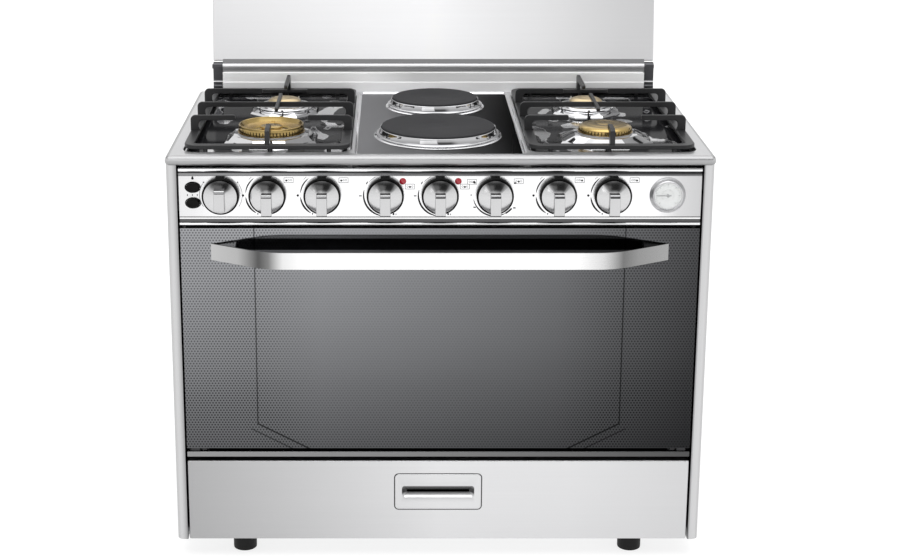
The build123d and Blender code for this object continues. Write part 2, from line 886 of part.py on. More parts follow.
def gas_manifold():
    """Gas pipe along the taps, turning back to the threaded inlet."""
    end_y = body_back + inlet_reach
    points = [
        (knob_x[0] - 30.0, manifold_y, manifold_z),
        (inlet_x, manifold_y, manifold_z),
        (inlet_x, end_y - inlet_length, manifold_z),
    ]
    tube = pipe(points, manifold_radius, 30.0)
    return tube + rod(inlet_radius, inlet_length, (inlet_x, end_y - inlet_length, manifold_z), "y")


def gas_pipes():
    """Pipes from the taps to the four hob burners and the oven burner."""
    start_y = rail_back + valve_depth
    level = knob_z + 4.0
    under = crown_seat - burner_body_depth
    bend = 10.0
    tubes = []
    for side in (-1, 1):
        near_tap, far_tap = (knob_x[6], knob_x[7]) if side > 0 else (knob_x[2], knob_x[1])
        outside = side * (rear_burner_x + pipe_detour)
        front = [
            (near_tap, start_y, level),
            (near_tap, front_burner_y, level),
            (side * front_burner_x, front_burner_y, level),
            (side * front_burner_x, front_burner_y, under),
        ]
        turn_y = start_y + 25.0
        rear = [
            (far_tap, start_y, level),
            (far_tap, turn_y, level),
            (outside, turn_y, level),
            (outside, rear_burner_y, level),
            (side * rear_burner_x, rear_burner_y, level),
            (side * rear_burner_x, rear_burner_y, under),
        ]
        tubes += [pipe(front, pipe_radius, bend), pipe(rear, pipe_radius, bend)]
    side_x = -(oven_half_width + insulation + 45.0)
    burner_z = oven_floor + oven_burner_up
    oven = [
        (knob_x[0], start_y, level),
        (knob_x[0], start_y + 25.0, level),
        (side_x, start_y + 25.0, level),
        (side_x, start_y + 25.0, burner_z),
        (side_x, oven_burner_y(), burner_z),
        (oven_burner_start(), oven_burner_y(), burner_z),
    ]
    return tubes + [pipe(oven, pipe_radius, bend)]


# Oven

def oven_burner_y():
    """Depth of the oven burner's first leg."""
    return frame_back + oven_depth * 0.33


def oven_burner_start():
    """Left end of the oven burner, outside the insulation."""
    return -(oven_half_width + insulation + 8.0)


def front_frame():
    """Enamelled frame round the oven mouth, with the two door hinge plates."""
    low = drawer_top + 4.0
    frame = slab(-inner_side, inner_side, frame_y, frame_back, low, panel_bottom)
    frame -= slab(
        -oven_half_width, oven_half_width, frame_y - 1, frame_back + 1, oven_floor, oven_roof
    )
    frame += slab(-inner_side, inner_side, frame_back, frame_back + 30.0, low, low + sheet)
    start = hinge_plate_x
    plate = slab(
        start, start + hinge_plate, pivot_y, frame_y,
        pivot_z - hinge_eye_radius + 1.0, pivot_z + hinge_eye_radius - 1.0,
    )
    plate += rod(hinge_eye_radius, hinge_plate, (start, pivot_y, pivot_z), "x")
    plate -= rod(hinge_pin_radius + running_gap, 3 * hinge_plate, (start - hinge_plate, pivot_y, pivot_z), "x")
    for side in both_sides(plate):
        frame += side
    return frame


def oven_wall_holes(clearance):
    """Holes through the oven box for its burner, grill and lamp."""
    y = oven_burner_y()
    z = oven_floor + oven_burner_up
    holes = [
        rod(burner_tube_radius + clearance, insulation + 30.0, (-oven_half_width - insulation - 20.0, y, z), "x"),
        rod(oven_lamp_radius + clearance, insulation + 30.0, (oven_lamp_x, oven_rear - 10.0, oven_lamp_z()), "y"),
    ]
    for x in (-40.0, 40.0):
        holes.append(rod(grill_radius + clearance, insulation + 30.0, (x, oven_rear - 10.0, oven_roof - grill_drop), "y"))
    return holes


def oven_lamp_z():
    """Height of the oven lamp."""
    return oven_floor + oven_lamp_up


def oven_cavity():
    """Enamelled oven box, open at the front."""
    wide = oven_half_width + sheet
    box = slab(-wide, wide, frame_back, oven_rear + sheet, oven_floor - sheet, oven_roof + sheet)
    box -= slab(
        -oven_half_width, oven_half_width, frame_back - 1, oven_rear, oven_floor, oven_roof
    )
    return box - oven_wall_holes(0.5)


def oven_insulation():
    """Mineral wool round the oven box."""
    inner = oven_half_width + sheet
    wide = inner + insulation
    rear = oven_rear + sheet
    wool = slab(
        -wide, wide, frame_back + sheet, rear + insulation,
        oven_floor - sheet - insulation, oven_roof + sheet + insulation,
    )
    wool -= slab(-inner, inner, frame_back - 1, rear, oven_floor - sheet, oven_roof + sheet)
    return wool - oven_wall_holes(0.5)


def oven_floor_plate():
    """Removable plate over the oven burner, standing on its turned-down edges."""
    wide = oven_half_width - 4.0
    front = frame_back + 12.0
    rear = oven_rear - 4.0
    top = oven_floor + floor_plate_up
    plate = slab(-wide, wide, front, rear, top - sheet, top)
    for y in (front, rear - sheet):
        plate += slab(-wide, wide, y, y + sheet, oven_floor, top - sheet)
    pitch = 2 * wide / (floor_vents + 0.5)
    half = floor_vent / 2
    middles = [pitch * (index - (floor_vents - 1) / 2) for index in range(floor_vents)]
    vents = [slab(x - half, x + half, front + 8.0, front + 14.0, top - 2 * sheet, top + 1) for x in middles]
    return plate - vents


def oven_burner():
    """Tubular oven burner on two saddles."""
    y = oven_burner_y()
    z = oven_floor + oven_burner_up
    far = y + oven_depth * 0.34
    reach = oven_half_width - 70.0
    tube = pipe(
        [(oven_burner_start(), y, z), (reach, y, z), (reach, far, z), (-reach, far, z)],
        burner_tube_radius, 45.0,
    )
    for x in (-reach * 0.6, reach * 0.6):
        tube += slab(x - 4.0, x + 4.0, y - 10.0, far + 10.0, oven_floor, z - 2.0)
    return tube


def grill_element():
    """Tubular grill heater under the oven roof."""
    z = oven_roof - grill_drop
    rear = oven_rear + insulation
    turn = oven_rear - 60.0
    front = frame_back + 60.0
    wide = oven_half_width - 90.0
    return pipe(
        [
            (-40.0, rear, z), (-40.0, turn, z), (-wide, turn, z), (-wide, front, z),
            (wide, front, z), (wide, turn, z), (40.0, turn, z), (40.0, rear, z),
        ],
        grill_radius, 20.0,
    )


def oven_lamp():
    """Oven lamp: glass cap inside the oven and its holder in the rear wall."""
    z = oven_lamp_z()
    holder = rod(oven_lamp_radius, insulation + 8.0, (oven_lamp_x, oven_rear, z), "y")
    cap = rod(oven_lamp_radius + 4.0, 12.0, (oven_lamp_x, oven_rear - 12.0, z), "y")
    cap = fillet(cap.edges().sort_by(Axis.Y)[0], 5.0)
    return group([cap, holder])


def shelf_rack():
    """Right wire rack that the oven shelf slides on."""
    x = oven_half_width - rack_inset
    front = frame_back + 20.0
    rear = oven_rear - 20.0
    low = oven_floor + rack_levels[0] - 20.0
    top = oven_floor + rack_levels[-1] + rack_guard + 20.0
    rack = None
    post_x = x + 2 * rack_rod - 0.5
    for y in (front + 40.0, rear - 40.0):
        post = rod(rack_rod, top - low, (post_x, y, low))
        for z in (low + 10.0, top - 10.0):
            post += rod(rack_rod - 0.5, oven_half_width - post_x, (post_x, y, z), "x")
        rack = post if rack is None else rack + post
    for level in rack_levels:
        for z in (oven_floor + level, oven_floor + level + rack_guard):
            rack += rod(rack_rod, rear - front, (x, front, z), "y")
    return rack


def oven_shelf():
    """Wire oven shelf on the middle rack level."""
    z = oven_floor + rack_levels[shelf_level] + rack_rod + shelf_rod + touch_gap
    side = oven_half_width - rack_inset - 2.0
    rear = oven_rear - 8.0
    front = rear - shelf_depth
    shelf = rod(shelf_rod, 2 * side, (-side, front, z), "x")
    shelf += rod(shelf_rod, 2 * side, (-side, rear, z), "x")
    for x in (-side, side):
        shelf += rod(shelf_rod, shelf_depth, (x, front, z), "y")
        for y in (front, rear):
            shelf += Pos(x, y, z) * Sphere(shelf_rod)
    for index in range(1, shelf_wires + 1):
        x = -side + 2 * side * index / (shelf_wires + 1)
        shelf += rod(shelf_wire, shelf_depth, (x, front, z + 1.0), "y")
    return shelf


def door_seal():
    """Heat seal round the oven mouth."""
    wide = oven_half_width + seal_lap
    outer = wide + seal_width
    low = oven_floor - seal_lap
    top = oven_roof + seal_lap
    front = door_back + touch_gap
    ring = slab(-outer, outer, front, frame_y, low - seal_width, top + seal_width)
    return ring - slab(-wide, wide, front - 1, frame_y + 1, low, top)


# Door

def glass_bottom():
    """Lower edge of the door's outer glass."""
    return door_bottom + trim_height + trim_gap


def handle_middle():
    """Height of the middle of the handle."""
    return door_top - handle_drop - handle_height / 2


def handle_screw_x():
    """Distance of the handle screws from the middle."""
    return handle_half_width - bracket_length / 2


def door_outer_glass():
    """Mirror-dark front glass with holes for the handle screws."""
    glass = slab(-front_half, front_half, front_setback, front_setback + door_glass, glass_bottom(), door_top)
    z = handle_middle()
    x = handle_screw_x()
    holes = [rod(screw_radius + 0.5, 3 * door_glass, (s * x, front_setback - door_glass, z), "y") for s in (-1, 1)]
    return glass - holes


def door_frame():
    """Pressed steel door tray behind the glass, with the window opening."""
    wide = front_half - door_side_inset
    front = front_setback + door_glass
    low = door_bottom + 1.5
    top = door_top - 5.0
    tray = slab(-wide, wide, front, door_back, low, top)
    tray -= slab(-wide + sheet, wide - sheet, front - 1, door_back - sheet, low + sheet, top - sheet)
    x = window_half_width
    z0 = low + window_margin_bottom
    z1 = top - window_margin_top
    window = make_face(
        Polyline(
            (-x, z1), (x, z1), (x, z0 + window_corner_z), (x - window_corner_x, z0),
            (window_corner_x - x, z0), (-x, z0 + window_corner_z), (-x, z1),
        )
    )
    tray -= Pos(0, door_back + 1, 0) * extrude(Plane.XZ * window, amount=3 * sheet)
    for side in (-1, 1):
        x0, x1 = sorted((side * (hinge_plate_x - 3.0), side * (hinge_plate_x + hinge_plate + 3.0)))
        tray -= slab(x0, x1, front - 1, door_back + 1, low - 1, pivot_z + hinge_eye_radius + 6.0)
    return tray


def door_inner_glass():
    """Heat-resisting glass behind the window."""
    low = door_bottom + 1.5 + window_margin_bottom - inner_glass_lap
    top = door_top - 5.0 - window_margin_top + inner_glass_lap
    wide = window_half_width + inner_glass_lap
    rear = door_back - sheet
    return slab(-wide, wide, rear - door_glass, rear, low, top)


def door_bottom_trim():
    """Metal strip along the door's lower edge."""
    lip = slab(-front_half, front_half, front_setback, front_setback + door_glass, door_bottom, door_bottom + trim_height)
    return fillet(lip.edges().filter_by(Axis.X).sort_by(Axis.Y)[:2], 1.0)


def strap_outline(inset):
    """Points of one face of the handle strap, seen from above, inset from its outer face."""
    slope = radians(handle_slope)
    front = cooker_front + inset
    bend = handle_bend - inset
    rise = handle_reach - handle_bend * (1 - cos(slope))
    run = rise / sin(slope) * cos(slope)
    centre_x = handle_half_width - run - handle_bend * sin(slope)
    centre = cooker_front + handle_bend
    start_x = handle_half_width - inset / sin(slope)
    tangent = (centre_x + bend * sin(slope), centre - bend * cos(slope))
    half = (centre_x + bend * sin(slope / 2), centre - bend * cos(slope / 2))
    return (start_x, front_setback), tangent, half, (centre_x, front)


def strap_region(inset):
    """Area between the door and one face of the handle strap."""
    start, tangent, half, end = strap_outline(inset)

    def flip(point):
        return (-point[0], point[1])

    return make_face(
        [
            Line(flip(start), flip(tangent)),
            ThreePointArc(flip(tangent), flip(half), flip(end)),
            Line(flip(end), end),
            ThreePointArc(end, half, tangent),
            Line(tangent, start),
            Line(start, flip(start)),
        ]
    )


def handle_strap_bar():
    """Bent steel strap handle."""
    strap = extrude(strap_region(0) - strap_region(handle_strap), amount=handle_height)
    return Pos(0, 0, handle_middle() - handle_height / 2) * strap


def handle_grip():
    """Grip channel behind the strap's middle, open towards the door."""
    inside = strap_region(handle_strap)
    rear = cooker_front + handle_strap + grip_depth
    bar = Pos(0, rear - handle_reach / 2, 0) * Rectangle(2 * grip_half_width, handle_reach)
    height = handle_height - 2.0
    low = handle_middle() - height / 2
    grip = Pos(0, 0, low) * extrude(inside & bar, amount=height)
    end = grip_half_width - handle_bend * sin(radians(handle_slope)) / 2
    return grip - slab(
        -end, end, cooker_front + handle_strap + grip_wall, rear + 1, low + grip_wall, low + height - grip_wall
    )


def handle_bracket():
    """Right wedge between the strap's end and the glass."""
    inside = strap_region(handle_strap)
    end = handle_half_width - handle_strap / sin(radians(handle_slope))
    reach = Pos(end - bracket_length / 2, 0, 0) * Rectangle(bracket_length, 3 * handle_reach)
    height = handle_height - 4.0
    wedge = Pos(0, 0, handle_middle() - height / 2) * extrude(inside & reach, amount=height)
    return wedge - rod(screw_radius, handle_reach, (handle_screw_x(), front_setback - 6.0, handle_middle()), "y")


def handle_screw():
    """Right screw that holds the handle from inside the door."""
    z = handle_middle()
    x = handle_screw_x()
    glass_back = front_setback + door_glass
    return rod(screw_radius - running_gap, door_glass + 5.0, (x, front_setback - 5.0, z), "y") + rod(
        screw_radius * 2, 3.0, (x, glass_back, z), "y"
    )


def door_hinge():
    """Right hinge block inside the door, with the pin that turns in the cabinet's hinge plate."""
    wide = front_half - door_side_inset - sheet
    start = wide - hinge_body
    low = door_bottom + 1.5 + sheet
    block = slab(start, wide, front_setback + door_glass, door_back - sheet, low, pivot_z + 30.0)
    return block + rod(hinge_pin_radius, start - hinge_plate_x + 4.0, (hinge_plate_x - 4.0, pivot_y, pivot_z), "x")


# Drawer

def pull_middle():
    """Height of the middle of the drawer pull."""
    return drawer_top - pull_drop


def pull_slab(width, height, y0, y1, corner):
    """A rounded plate of the drawer pull."""
    z = pull_middle()
    return rounded_slab(-width / 2, width / 2, y0, y1, z - height / 2, z + height / 2, corner, Axis.Y)


def drawer_front():
    """Folded steel drawer front with the opening for its pull."""
    rear = front_setback + drawer_front_depth
    pan = slab(-front_half, front_half, front_setback, rear, drawer_bottom, drawer_top)
    pan -= slab(
        sheet - front_half, front_half - sheet, front_setback + sheet, rear + 1,
        drawer_bottom + sheet, drawer_top - sheet,
    )
    return pan - pull_slab(pull_width, pull_height, front_setback - 1, front_setback + 2 * sheet, pull_corner)


def drawer_pull():
    """Recessed pull: flush plate, rear flange and finger pocket."""
    margin = 2.0
    flange_y = front_setback + sheet
    plate = pull_slab(
        pull_width - margin, pull_height - margin, front_setback + 0.4, flange_y + 1.6, pull_corner - margin / 2
    )
    plate += pull_slab(pull_width + 14.0, pull_height + 14.0, flange_y, flange_y + 1.6, pull_corner)
    plate += pull_slab(pull_slot_width + 3.0, pull_slot_height + 3.0, flange_y, flange_y + pull_pocket, 6.0)
    return plate - pull_slab(pull_slot_width, pull_slot_height, front_setback - 1, flange_y + pull_pocket - 1.5, 5.0)


def drawer_box():
    """Steel storage drawer with its runner flanges."""
    front = front_setback + drawer_front_depth
    low = drawer_bottom + drawer_box_floor
    wide = drawer_box_half_width
    box = slab(-wide, wide, front, drawer_box_rear, low, low + drawer_box_height)
    box -= slab(
        sheet - wide, wide - sheet, front + sheet, drawer_box_rear - sheet, low + sheet, low + drawer_box_height + 1
    )
    box += slab(-front_half, front_half, front, front + sheet, low, low + drawer_box_height)
    level = drawer_bottom + runner_up
    runner = slab(wide, wide + runner_width, front_setback + post_depth, drawer_box_rear, level, level + sheet)
    for side in both_sides(runner):
        box += side
    return box


# Lid and rear strip

def lean_back(shape):
    """Turns a lid piece, drawn upright on its hinge axis, to its open position."""
    return Pos(0, lid_axis_y, lid_axis_z) * Rot(-lid_lean, 0, 0) * shape


def lid_outer_sheet():
    """Rear skin of the lid, a shallow tray."""
    half = lid_thickness / 2
    tray = slab(-lid_half_width, lid_half_width, -half + sheet, half, lid_start, lid_length)
    inner = lid_half_width - sheet
    tray -= slab(-inner, inner, -half, half - sheet, lid_start + sheet, lid_length - sheet)
    web = lid_tube_half - 3.0
    tray -= slab(-web - 0.2, web + 0.2, -half, half - sheet, lid_start - 1, lid_start + 2 * sheet)
    return lean_back(tray)


def lid_inner_sheet():
    """Front skin of the lid, a flat sheet that closes the tray."""
    half = lid_thickness / 2
    return lean_back(slab(-lid_half_width, lid_half_width, -half, sheet - half, lid_start, lid_length))


def lid_rail():
    """Hinge tube of the lid with the web that holds its two skins."""
    half = lid_tube_half
    tube = rod(lid_tube_radius, 2 * half, (-half, 0, 0), "x")
    room = lid_thickness / 2 - sheet
    tube += slab(-half + 3.0, half - 3.0, -room, room, 0, lid_web)
    tube -= [
        rod(lid_pin_radius + running_gap, lid_pin_length + 1.0, (x, 0, 0), "x")
        for x in (-half - 1.0, half - lid_pin_length)
    ]
    return lean_back(tube)


def hinge_block():
    """Right hinge block of the lid with its pin."""
    outer = lid_half_width
    inner = outer - block_width
    block = slab(inner, outer, lid_axis_y - block_radius, lid_axis_y + block_radius, rim, lid_axis_z)
    block += slab(inner, outer, hob_depth, lid_axis_y + block_radius, body_top, rim)
    block += rod(block_radius, block_width, (inner, lid_axis_y, lid_axis_z), "x")
    tip = lid_tube_half - lid_pin_length + 1.0
    return block + rod(lid_pin_radius, inner - tip, (tip, lid_axis_y, lid_axis_z), "x")


def rear_upstand():
    """Folded strip along the hob's rear edge, in front of the lid's hinge tube."""
    half = lid_tube_half
    rear = hob_depth
    front = rear - upstand_depth
    top = rim + upstand_height
    strip = slab(-half, half, front, rear, rim, top)
    strip -= slab(sheet - half, half - sheet, front + sheet, rear + 1, rim + sheet, top - sheet)
    return strip + slab(-half, half, front - upstand_ledge_depth, front, rim, rim + upstand_ledge)


def terminal_box():
    """Mains terminal box on the back panel with its cable gland."""
    half = terminal_width / 2
    rear = body_back + terminal_depth
    z = terminal_up
    box = slab(
        terminal_x - half, terminal_x + half, body_back, rear, z - terminal_height / 2, z + terminal_height / 2
    )
    box -= slab(
        terminal_x - half + 2.0, terminal_x + half - 2.0, body_back - 1, rear - 2.0,
        z - terminal_height / 2 + 2.0, z + terminal_height / 2 - 2.0,
    )
    mouth = (terminal_x, body_back + terminal_depth / 2, z - terminal_height / 2 - gland_length)
    box += rod(gland_radius, gland_length, mouth)
    return box - rod(cable_radius, gland_length + 3.0, (mouth[0], mouth[1], mouth[2] - 0.5))


def all_nodes():
    """Every node's name and shape."""
    spots = burners()
    nodes = {
        "side_panels": group(both_sides(side_panel())),
        "corner_posts": group(both_sides(corner_post())),
        "back_panel": back_panel(),
        "back_screws": group([back_screw(x, z) for x, z in back_screw_places()]),
        "base_frame": base_frame(),
        "levelling_feet": group([foot(x, y) for x, y in foot_places()]),
        "hob_top": hob_top(),
        "burner_bodies": group([burner_body(x, y, crown) for x, y, crown, _ in spots.values()]),
        "spark_electrodes": group([electrode(x, y, crown) for x, y, crown, _ in spots.values()]),
        "left_front_crown": ring_crown(*spots["left_front"][:2]),
        "right_front_crown": cap_crown(*spots["right_front"][:3], crown_height, 36),
        "left_rear_crown": cap_crown(*spots["left_rear"][:3], small_crown_height, 24),
        "right_rear_crown": cap_crown(*spots["right_rear"][:3], small_crown_height, 24),
        "hotplates": group([hotplate(y, radius) for y, radius in hotplate_places()]),
        "hotplate_rings": group([hotplate_ring(y, radius) for y, radius in hotplate_places()]),
        "right_pan_support": pan_support(),
        "left_pan_support": mirror(pan_support(), Plane.YZ),
        "control_panel": control_panel(),
        "knob_skirts": group([knob_bezel(x) for x in knob_x]),
        "indicator_lamps": group([indicator_lamp(x) for x in lamp_x]),
        "thermometer_case": thermometer_case(),
        "thermometer_pointer": thermometer_pointer(),
        "thermometer_glass": thermometer_glass(),
        "tap_rail": tap_rail(),
        "gas_taps": group([gas_tap(knob_x[index]) for index in gas_knobs]),
        "electric_switches": group(
            [rotary_switch(knob_x[index]) for index in electric_knobs]
            + [push_switch(z) for z in button_levels()]
        ),
        "gas_pipework": group([gas_manifold()] + gas_pipes()),
        "oven_front_frame": front_frame(),
        "oven_cavity": oven_cavity(),
        "oven_insulation": oven_insulation(),
        "oven_floor_plate": oven_floor_plate(),
        "oven_heaters": group([oven_burner(), grill_element()]),
        "oven_lamp": oven_lamp(),
        "shelf_racks": group(both_sides(shelf_rack())),
        "oven_shelf": oven_shelf(),
        "door_seal": door_seal(),
        "door_outer_glass": door_outer_glass(),
        "door_frame": door_frame(),
        "door_inner_glass": door_inner_glass(),
        "door_bottom_trim": door_bottom_trim(),
        "door_handle": group(
            [handle_strap_bar(), handle_grip()] + both_sides(handle_bracket()) + both_sides(handle_screw())
        ),
        "door_hinges": group(both_sides(door_hinge())),
        "drawer_front": drawer_front(),
        "drawer_pull": drawer_pull(),
        "drawer_box": drawer_box(),
        "lid_panel": group([lid_outer_sheet(), lid_inner_sheet()]),
        "lid_rail": lid_rail(),
        "lid_hinge_blocks": group(both_sides(hinge_block())),
        "rear_upstand": rear_upstand(),
        "terminal_box": terminal_box(),
    }
    for number, x in enumerate(knob_x, start=1):
        nodes[f"knob_{number}"] = knob(x)
    upper, lower = button_levels()
    nodes["upper_button"] = push_button(upper)
    nodes["lower_button"] = push_button(lower)
    return nodes


if __name__ == "__main__":
    os.makedirs("parts", exist_ok=True)
    for name, shape in all_nodes().items():
        export_step(Pos(0, -centre_y, 0) * shape, f"parts/{name}.step")
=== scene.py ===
"""Looks of a free-standing dual fuel range cooker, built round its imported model.

Shapes are drawn in millimetres in the maker's own frame: x to the right, y back from the hob's
front edge and z up from the floor. They are turned into metres in the shared frame when a piece
leaves the bench.
"""

import logging
import math
from dataclasses import dataclass
from enum import Enum
from functools import lru_cache
from typing import Dict, Iterable, List, Optional, Sequence, Tuple, Union

import bmesh
import bpy
from mathutils import Matrix, Vector


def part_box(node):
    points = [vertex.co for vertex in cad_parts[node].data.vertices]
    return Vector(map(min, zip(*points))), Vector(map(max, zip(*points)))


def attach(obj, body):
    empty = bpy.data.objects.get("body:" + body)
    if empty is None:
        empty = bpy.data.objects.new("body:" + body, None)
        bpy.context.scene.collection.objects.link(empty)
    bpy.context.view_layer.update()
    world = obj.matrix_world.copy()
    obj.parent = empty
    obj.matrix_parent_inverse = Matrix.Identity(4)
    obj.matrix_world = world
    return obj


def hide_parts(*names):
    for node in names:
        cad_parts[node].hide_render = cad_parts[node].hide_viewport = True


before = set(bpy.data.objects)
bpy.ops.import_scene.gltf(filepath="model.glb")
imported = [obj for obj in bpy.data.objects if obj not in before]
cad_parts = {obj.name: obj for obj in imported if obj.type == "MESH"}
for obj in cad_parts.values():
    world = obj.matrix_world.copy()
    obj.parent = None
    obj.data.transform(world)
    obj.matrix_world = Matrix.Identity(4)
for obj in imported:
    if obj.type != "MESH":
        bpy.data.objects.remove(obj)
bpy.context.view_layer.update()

HOB_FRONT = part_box("hob_top")[0].y
TO_FRAME = Matrix.Translation((0.0, HOB_FRONT, 0.0)) @ Matrix.Scale(0.001, 4)
SHARP = math.radians(30)

RIM = 795.0
HOB_DEPTH = 600.0
HALF_FRONT = 476.5
PANEL_FACE = 12.0
DOOR_FACE = 10.0
KNOB_HEIGHT = 720.0
PRINT_DEPTH = 0.25

Point = Tuple[float, float]
Spot = Tuple[float, float, float]
Colour = Tuple[float, float, float]
Corner = bmesh.types.BMVert
Edge = bmesh.types.BMEdge
Face = bmesh.types.BMFace
Piece = bpy.types.Object
Socket = bpy.types.NodeSocket
Material = bpy.types.Material
log = logging.getLogger("cooker")


class Facing(Enum):
    """Which way a flat outline looks when it is set on the bench."""

    UP = "up"
    FRONT = "front"
    RIGHT = "right"

    @property
    def turn(self) -> Matrix:
        """The turn that takes the drawing board to this side."""
        if self is Facing.UP:
            return Matrix.Identity(4)
        if self is Facing.FRONT:
            return Matrix.Rotation(math.radians(90), 4, "X")
        return Matrix(((0, 0, 1, 0), (1, 0, 0, 0), (0, 1, 0, 0), (0, 0, 0, 1)))


class Grain(Enum):
    """The way a brushed sheet's grain runs."""

    ACROSS = (3.0, 260.0, 260.0)
    UPRIGHT = (260.0, 260.0, 3.0)
    NONE = (90.0, 90.0, 90.0)


# Finishes


class Signal:
    """A value in a finish, whose arithmetic adds the maths that it needs."""

    def __init__(self, board: "Board", socket: Socket) -> None:
        """Keeps the board and the socket that carries the value."""
        self.board = board
        self.socket = socket

    def __add__(self, other: "Number") -> "Signal":
        """The sum of two values."""
        return self.board.maths("ADD", self, other)

    def __radd__(self, other: "Number") -> "Signal":
        """The sum with a plain number first."""
        return self.board.maths("ADD", other, self)

    def __sub__(self, other: "Number") -> "Signal":
        """The difference of two values."""
        return self.board.maths("SUBTRACT", self, other)

    def __rsub__(self, other: "Number") -> "Signal":
        """The difference with a plain number first."""
        return self.board.maths("SUBTRACT", other, self)

    def __mul__(self, other: "Number") -> "Signal":
        """The product of two values."""
        return self.board.maths("MULTIPLY", self, other)

    def __rmul__(self, other: "Number") -> "Signal":
        """The product with a plain number first."""
        return self.board.maths("MULTIPLY", other, self)

    def __truediv__(self, other: "Number") -> "Signal":
        """The quotient of two values."""
        return self.board.maths("DIVIDE", self, other)

    def clamp(self) -> "Signal":
        """The value kept from 0 to 1."""
        return self.board.maths("MINIMUM", self.most(0.0), 1.0)

    def absolute(self) -> "Signal":
        """The value without its sign."""
        return self.board.maths("ABSOLUTE", self)

    def fraction(self) -> "Signal":
        """What is left above the whole number below."""
        return self.board.maths("FRACT", self)

    def whole(self) -> "Signal":
        """The whole number below."""
        return self.board.maths("FLOOR", self)

    def root(self) -> "Signal":
        """The square root."""
        return self.board.maths("SQRT", self)

    def sine(self) -> "Signal":
        """The sine."""
        return self.board.maths("SINE", self)

    def most(self, other: "Number") -> "Signal":
        """The larger of two values."""
        return self.board.maths("MAXIMUM", self, other)

    def below(self, edge: float, soft: float) -> "Signal":
        """1 where the value is under an edge, 0 above it.

        Args:
            edge: the value at the middle of the change.
            soft: how wide the change is.

        Returns:
            The mask.
        """
        return ((edge - self) / soft + 0.5).clamp()


Number = Union[Signal, float]


class Board:
    """The node board of one finish."""

    def __init__(self, name: str) -> None:
        """Starts a finish with an empty board and its output.

        Args:
            name: the finish's name.
        """
        self.material = bpy.data.materials.new(name)
        self.material.use_nodes = True
        self.tree = self.material.node_tree
        self.tree.nodes.clear()
        self.output = self.tree.nodes.new("ShaderNodeOutputMaterial")

    def plug(self, value: object, socket: Socket) -> None:
        """Gives a socket a link or a plain value.

        Args:
            value: a signal, a socket or a plain value.
            socket: where it goes.
        """
        if isinstance(value, Signal):
            value = value.socket
        if isinstance(value, Socket):
            self.tree.links.new(value, socket)
        else:
            socket.default_value = value

    def node(self, kind: str, settings: Optional[dict] = None, inputs: Optional[dict] = None) -> bpy.types.Node:
        """Adds a node.

        Args:
            kind: the node's type.
            settings: its own settings, and a ramp's stops, which are set first.
            inputs: the values or links of its sockets, by name or number.

        Returns:
            The node.
        """
        made = self.tree.nodes.new(kind)
        for key, value in (settings or {}).items():
            if key == "stops":
                stops = made.color_ramp.elements
                for index, (place, tone) in enumerate(value):
                    stop = stops[index] if index < 2 else stops.new(place)
                    stop.position = place
                    stop.color = (tone, tone, tone, 1.0)
            else:
                setattr(made, key, value)
        for key, value in (inputs or {}).items():
            self.plug(value, made.inputs[key])
        return made

    def maths(self, operation: str, *values: Number) -> Signal:
        """Adds one step of arithmetic.

        Args:
            operation: the Math node's operation.
            values: what it works on.

        Returns:
            The result.
        """
        made = self.node("ShaderNodeMath", {"operation": operation}, dict(enumerate(values)))
        return Signal(self, made.outputs[0])

    def place(self, centre: Sequence[float] = (0, 0, 0), scale: Sequence[float] = (1, 1, 1)) -> Socket:
        """Points of the piece, from a centre and stretched.

        Args:
            centre: the pattern's middle, in metres in the shared frame.
            scale: how much each direction is stretched.

        Returns:
            The vector socket.
        """
        own = self.node("ShaderNodeTexCoord").outputs["Object"]
        moved = self.node("ShaderNodeVectorMath", {"operation": "SUBTRACT"}, {0: own, 1: tuple(centre)})
        return self.node("ShaderNodeMapping", {}, {"Vector": moved.outputs[0], "Scale": tuple(scale)}).outputs[0]

    def axes(self, vector: Socket) -> Tuple[Signal, Signal, Signal]:
        """The three parts of a vector."""
        parts = self.node("ShaderNodeSeparateXYZ", {}, {0: vector}).outputs
        return Signal(self, parts[0]), Signal(self, parts[1]), Signal(self, parts[2])

    def noise(self, vector: Socket, scale: float, detail: float = 2.0) -> Signal:
        """Cloudy noise from 0 to 1.

        Args:
            vector: where it is read.
            scale: how fine it is.
            detail: how many finer layers it has.

        Returns:
            The noise.
        """
        made = self.node("ShaderNodeTexNoise", {}, {"Vector": vector, "Scale": scale, "Detail": detail})
        return Signal(self, made.outputs[0])

    def blend(self, factor: Number, first: object, second: object) -> Socket:
        """A colour between two colours.

        Args:
            factor: 0 for the first and 1 for the second.
            first: a colour or a socket.
            second: a colour or a socket.

        Returns:
            The colour socket.
        """
        ends = [(*end, 1.0) if isinstance(end, tuple) else end for end in (first, second)]
        made = self.node("ShaderNodeMix", {"data_type": "RGBA"}, {0: factor, 6: ends[0], 7: ends[1]})
        return made.outputs[2]

    def bump(self, height: Signal, strength: float, distance: float) -> Socket:
        """A surface raised by a height.

        Args:
            height: the height, from 0 to 1.
            strength: how much it shows.
            distance: its depth in metres.

        Returns:
            The normal socket.
        """
        made = self.node("ShaderNodeBump", {}, {"Strength": strength, "Distance": distance, "Height": height})
        return made.outputs[0]

    def surface(self, **inputs: object) -> Material:
        """Joins the main shader to the output.

        Args:
            inputs: its sockets, with _ for a space.

        Returns:
            The finished material.
        """
        named = {key.replace("_", " "): value for key, value in inputs.items()}
        for key, value in named.items():
            if isinstance(value, tuple) and len(value) == 3:
                named[key] = (*value, 1.0)
        shader = self.node("ShaderNodeBsdfPrincipled", {}, named)
        self.plug(shader.outputs[0], self.output.inputs["Surface"])
        return self.material


